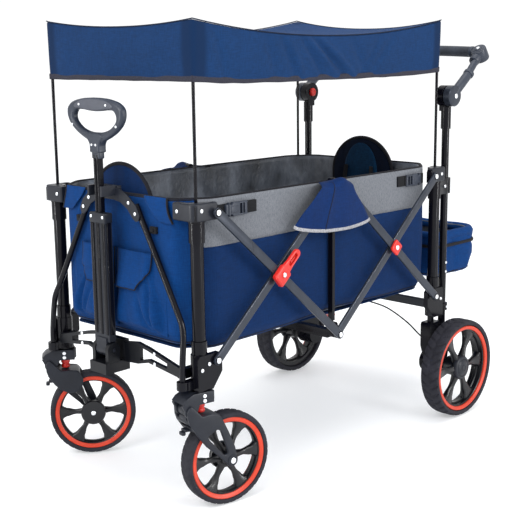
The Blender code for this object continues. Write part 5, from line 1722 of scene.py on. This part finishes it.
def make_push_handle():
    """Two arms from the hubs to turntable corners, the padded bar between them, and the buttons."""
    body = body_of("push_bar")
    hub = (PUSH_Y, PUSH_HUB_Z)
    slope = Vector((0.0, GRIP_Y - PUSH_Y, GRIP_Z - PUSH_HUB_Z)).normalized()
    lift = Vector((0.0, -slope.z, slope.y))
    start = at(0.2515, *hub)
    corner = at(0.2400, GRIP_Y, GRIP_Z)
    knee = start + Vector((0.0, (corner - start).y, (corner - start).z)) * 0.52
    top = corner + lift * 0.0172
    rivets = []
    for side, sign in SIDES:
        arm = [bar(start, knee, 0.0120, 36, 0.0015), bar(knee - slope * 0.010, corner, 0.0092, 32),
               bar(knee - slope * 0.006, knee + slope * 0.004, 0.0136, 36, 0.0015),
               bar(corner - slope * 0.036, corner, 0.0138, 36, 0.0025)]
        for low, high, radius, soft in ((-0.0190, 0.0150, 0.0200, 0.0030), (0.0140, 0.0162, 0.0150, 0.0006),
                                        (0.0155, 0.0176, 0.0100, 0.0006)):
            arm.append(bar(corner + lift * low, corner + lift * high, radius, 48, soft))
        assembled("push_arm_" + side, arm, HANDLE_PLASTIC, body, sign)
        disc = lathe(disc_profile(0.0265, 0.2393, 0.2618, 0.0028, 0.0010), 64, at(0, *hub))
        assembled("push_hub_disc_" + side, [disc], GREY_METAL, body, sign)
        rivets.append(knob(at(sign * 0.2626, *hub), (sign, 0, 0), 0.0062, 0.0030))
        rivets.append(knob(Vector((sign * top.x, top.y, top.z)), lift, 0.0045, 0.0022))
        node = "push_button_" + side
        button = [lathe(disc_profile(0.0112, -0.2245, -0.2132, 0.0018), 40, at(0, *hub)),
                  lathe(ring_profile(0.0060, 0.0085, -0.2136, -0.2124, 0.0004), 40, at(0, *hub))]
        assembled(node + "_cap", button, RED, body_of(node), -sign, replaces=[node])
    assembled("push_bar_rivets", rivets, STEEL, body)
    knots = [at(x, GRIP_Y + 0.010 * grip_line(x), GRIP_Z + 0.0035 + 0.0050 * grip_line(x))
             for x in (-0.225, -0.19, -0.16, -0.12, -0.08, 0.0, 0.08, 0.12, 0.16, 0.19, 0.225)]
    grip = tube("push_bar_grip", curved_line(knots, 6), 0.0139, FOAM, body, 7)
    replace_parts(grip, "push_bar")
    rings = []
    for x in (-0.216, 0.216):
        low = at(x - 0.005, GRIP_Y + 0.010 * grip_line(x), GRIP_Z + 0.0035)
        rings.append(bar(low, low + Vector((0.010, 0, 0)), 0.0150, 36, 0.0018))
    assembled("push_bar_end_rings", rings, HANDLE_PLASTIC, body)


# ------------------------------------------------------------------ frame, fasteners and small parts
STRAP_FACE, STRAP_Z = 0.2306, 0.6270


def make_frame():
    """The CAD pieces that keep their own shape, and the frame's caps and fasteners."""
    skin("mid_floor_beam", BLACK_METAL, 0.0015)
    skin("front_lower_hub", DARK_PLASTIC, 0.0016)
    skin("front_upper_hub", PLASTIC, 0.0022)
    skin("rear_lower_beam", PLASTIC, 0.0018)
    skin("brake_pedal", RED, 0.0012)
    for side, sign in SIDES:
        for node in ("front_lower_bracket_", "rear_lower_bracket_", "front_upper_bracket_",
                     "rear_upper_bracket_", "push_post_", "mid_strut_"):
            skin(node + side, BLACK_METAL, 0.0012)
        corner_caps(side, sign)
        fasteners(side, sign)


def corner_caps(side, sign):
    """Moulded caps that wrap the upper corners of the rim."""
    for end, end_sign in ENDS:
        reach = 0.1880 if end == "front" else 0.2140
        outline = [(reach, 0.4190), (reach, 0.4345), (reach + 0.0030, 0.4372)]
        outline += list(reversed(arc((0.2395, 0.4222), 0.0150, 0, 90, 6)))
        outline += [(0.2545, 0.3740), (0.2515, 0.3720), (0.2400, 0.3720), (0.2400, 0.3900), (0.2150, 0.4190)]
        outline = [(x, end_sign * y) for x, y in outline]
        cap = slab([outline], 0.6150, 0.6512, 0.0034, 4, "XY")
        assembled("corner_cap_" + end + "_" + side, [cap], PLASTIC, end + "_top", sign)


def fasteners(side, sign):
    """Rivets and screw heads, grouped by the body they hold; each is a place, a way out and a radius."""
    outward, forward, backward = (1, 0, 0), (0, -1, 0), (0, 1, 0)
    plate, cap = 0.2530, 0.2542
    groups = {"front_top": [((cap, -0.4166, 0.6367), outward, 0.0042),
                            ((0.2040, -0.4370, 0.6340), forward, 0.0040)],
              "rear_top": [((cap, 0.4140, 0.6345), outward, 0.0042),
                           ((0.2480, 0.4390, 0.6000), outward, 0.0040),
                           ((0.2300, 0.4370, 0.6340), backward, 0.0040)],
              "front_frame": [((plate, -0.4230, 0.3080), outward, 0.0042),
                              ((plate, -0.4030, 0.3180), outward, 0.0042),
                              ((0.1260, -0.4420, 0.3225), forward, 0.0042),
                              ((0.1260, -0.4420, 0.3000), forward, 0.0042),
                              ((0.0677, -0.4505, 0.6400), forward, 0.0040),
                              ((0.0880, -0.4505, 0.6185), forward, 0.0040)],
              "rear_frame": [((plate, 0.4230, 0.3080), outward, 0.0042),
                             ((plate, 0.4030, 0.3180), outward, 0.0042),
                             ((POST_X + 0.0094, PUSH_Y, 0.3730), outward, 0.0036),
                             ((POST_X + 0.0094, PUSH_Y, 0.3972), outward, 0.0036),
                             ((POST_X + 0.0146, PUSH_Y, 0.2790), outward, 0.0036),
                             ((0.2430, 0.4200, 0.2150), outward, 0.0036),
                             ((0.2430, 0.4180, 0.1750), outward, 0.0036)]}
    for body, spots in groups.items():
        heads = [knob(at(*place), way_out, radius, 0.0024) for place, way_out, radius in spots]
        assembled(body + "_rivets_" + side, heads, STEEL, body, sign)


def strap_plate(mouth, way, reaches, across, depths, soft=0.0012):
    """A rounded plate on a strap; reaches run from the buckle's mouth, depths from the band's face."""
    near, far = sorted(mouth + way * reach for reach in reaches)
    return block((STRAP_FACE + depths[0], near, STRAP_Z + across[0]),
                 (STRAP_FACE + depths[1], far, STRAP_Z + across[1]), soft)


def make_buckles():
    """Webbing and side-release buckles on the grey band, two to a side."""
    notch = [(0.0080 + 0.0050 * math.cos(math.radians(a)), 0.0150 - 0.0052 * math.sin(math.radians(a)))
             for a in range(180, -1, -30)]
    top = [(0.0010, 0.0118), (0.0024, 0.0150)] + notch + [(0.0150, 0.0150), (0.0330, 0.0138)]
    half = top + [(u, -v) for u, v in reversed(top)]
    # reach along the strap, place across it, depth over the band, rounding
    plates = (((0.0060, 0.0270), (-0.0070, 0.0070), (0.0088, 0.0106), 0.0012),
              ((-0.0060, 0.0030), (-0.0112, 0.0112), (0.0012, 0.0080), 0.0016),
              ((0.0330, 0.0610), (-0.0128, 0.0128), (0.0010, 0.0032), 0.0012),
              ((0.0398, 0.0430), (-0.0136, 0.0136), (0.0030, 0.0092), 0.0012),
              ((0.0480, 0.0560), (-0.0136, 0.0136), (0.0030, 0.0084), 0.0020),
              ((0.0320, 0.0560), (0.0104, 0.0138), (0.0012, 0.0090), 0.0012),
              ((0.0320, 0.0560), (-0.0138, -0.0104), (0.0012, 0.0090), 0.0012))
    folds = (((0.0540, 0.0600), (-0.0125, 0.0125), (0.0030, 0.0066), 0.0014),
             ((0.0590, 0.0870), (-0.0127, 0.0127), (0.0016, 0.0046), 0.0012))
    for side, sign in SIDES:
        for end, start, mouth, way in (("front", -0.3640, -0.3266, 1), ("rear", 0.3660, 0.3430, -1)):
            outline = [(mouth + way * u, STRAP_Z + v) for u, v in half]
            if way < 0:
                outline.reverse()
            buckle = [slab([outline], STRAP_FACE + 0.0012, STRAP_FACE + 0.0098, 0.0016, 3)]
            buckle += [strap_plate(mouth, way, *plate) for plate in plates]
            strap = [strap_plate(mouth, way, ((start - mouth) / way, 0.0870), (-0.0127, 0.0127),
                                 (-0.0012, 0.0014), 0.0009)]
            strap += [strap_plate(mouth, way, *fold) for fold in folds]
            assembled("strap_" + end + "_" + side, strap, STRAP, end + "_top", sign)
            assembled("buckle_" + end + "_" + side, buckle, HANDLE_PLASTIC, end + "_top", sign)


# ------------------------------------------------------------------ the whole wagon
make_camera()
make_studio()
make_canopy()
make_basket()
make_pockets()
make_front_tabs()
make_flaps()
make_buckles()
for seat_end, seat_sign in ENDS:
    make_seat_back(seat_end, seat_sign)
make_rear_bag()
for wagon_side, wagon_sign in SIDES:
    make_rear_wheel(wagon_side, wagon_sign)
    make_caster(wagon_side, wagon_sign)
    make_arms(wagon_side, wagon_sign)
    make_latch(wagon_side, wagon_sign)
    make_crossing_cap(wagon_side, wagon_sign)
make_tubes()
make_pull_handle()
make_push_handle()
make_frame()
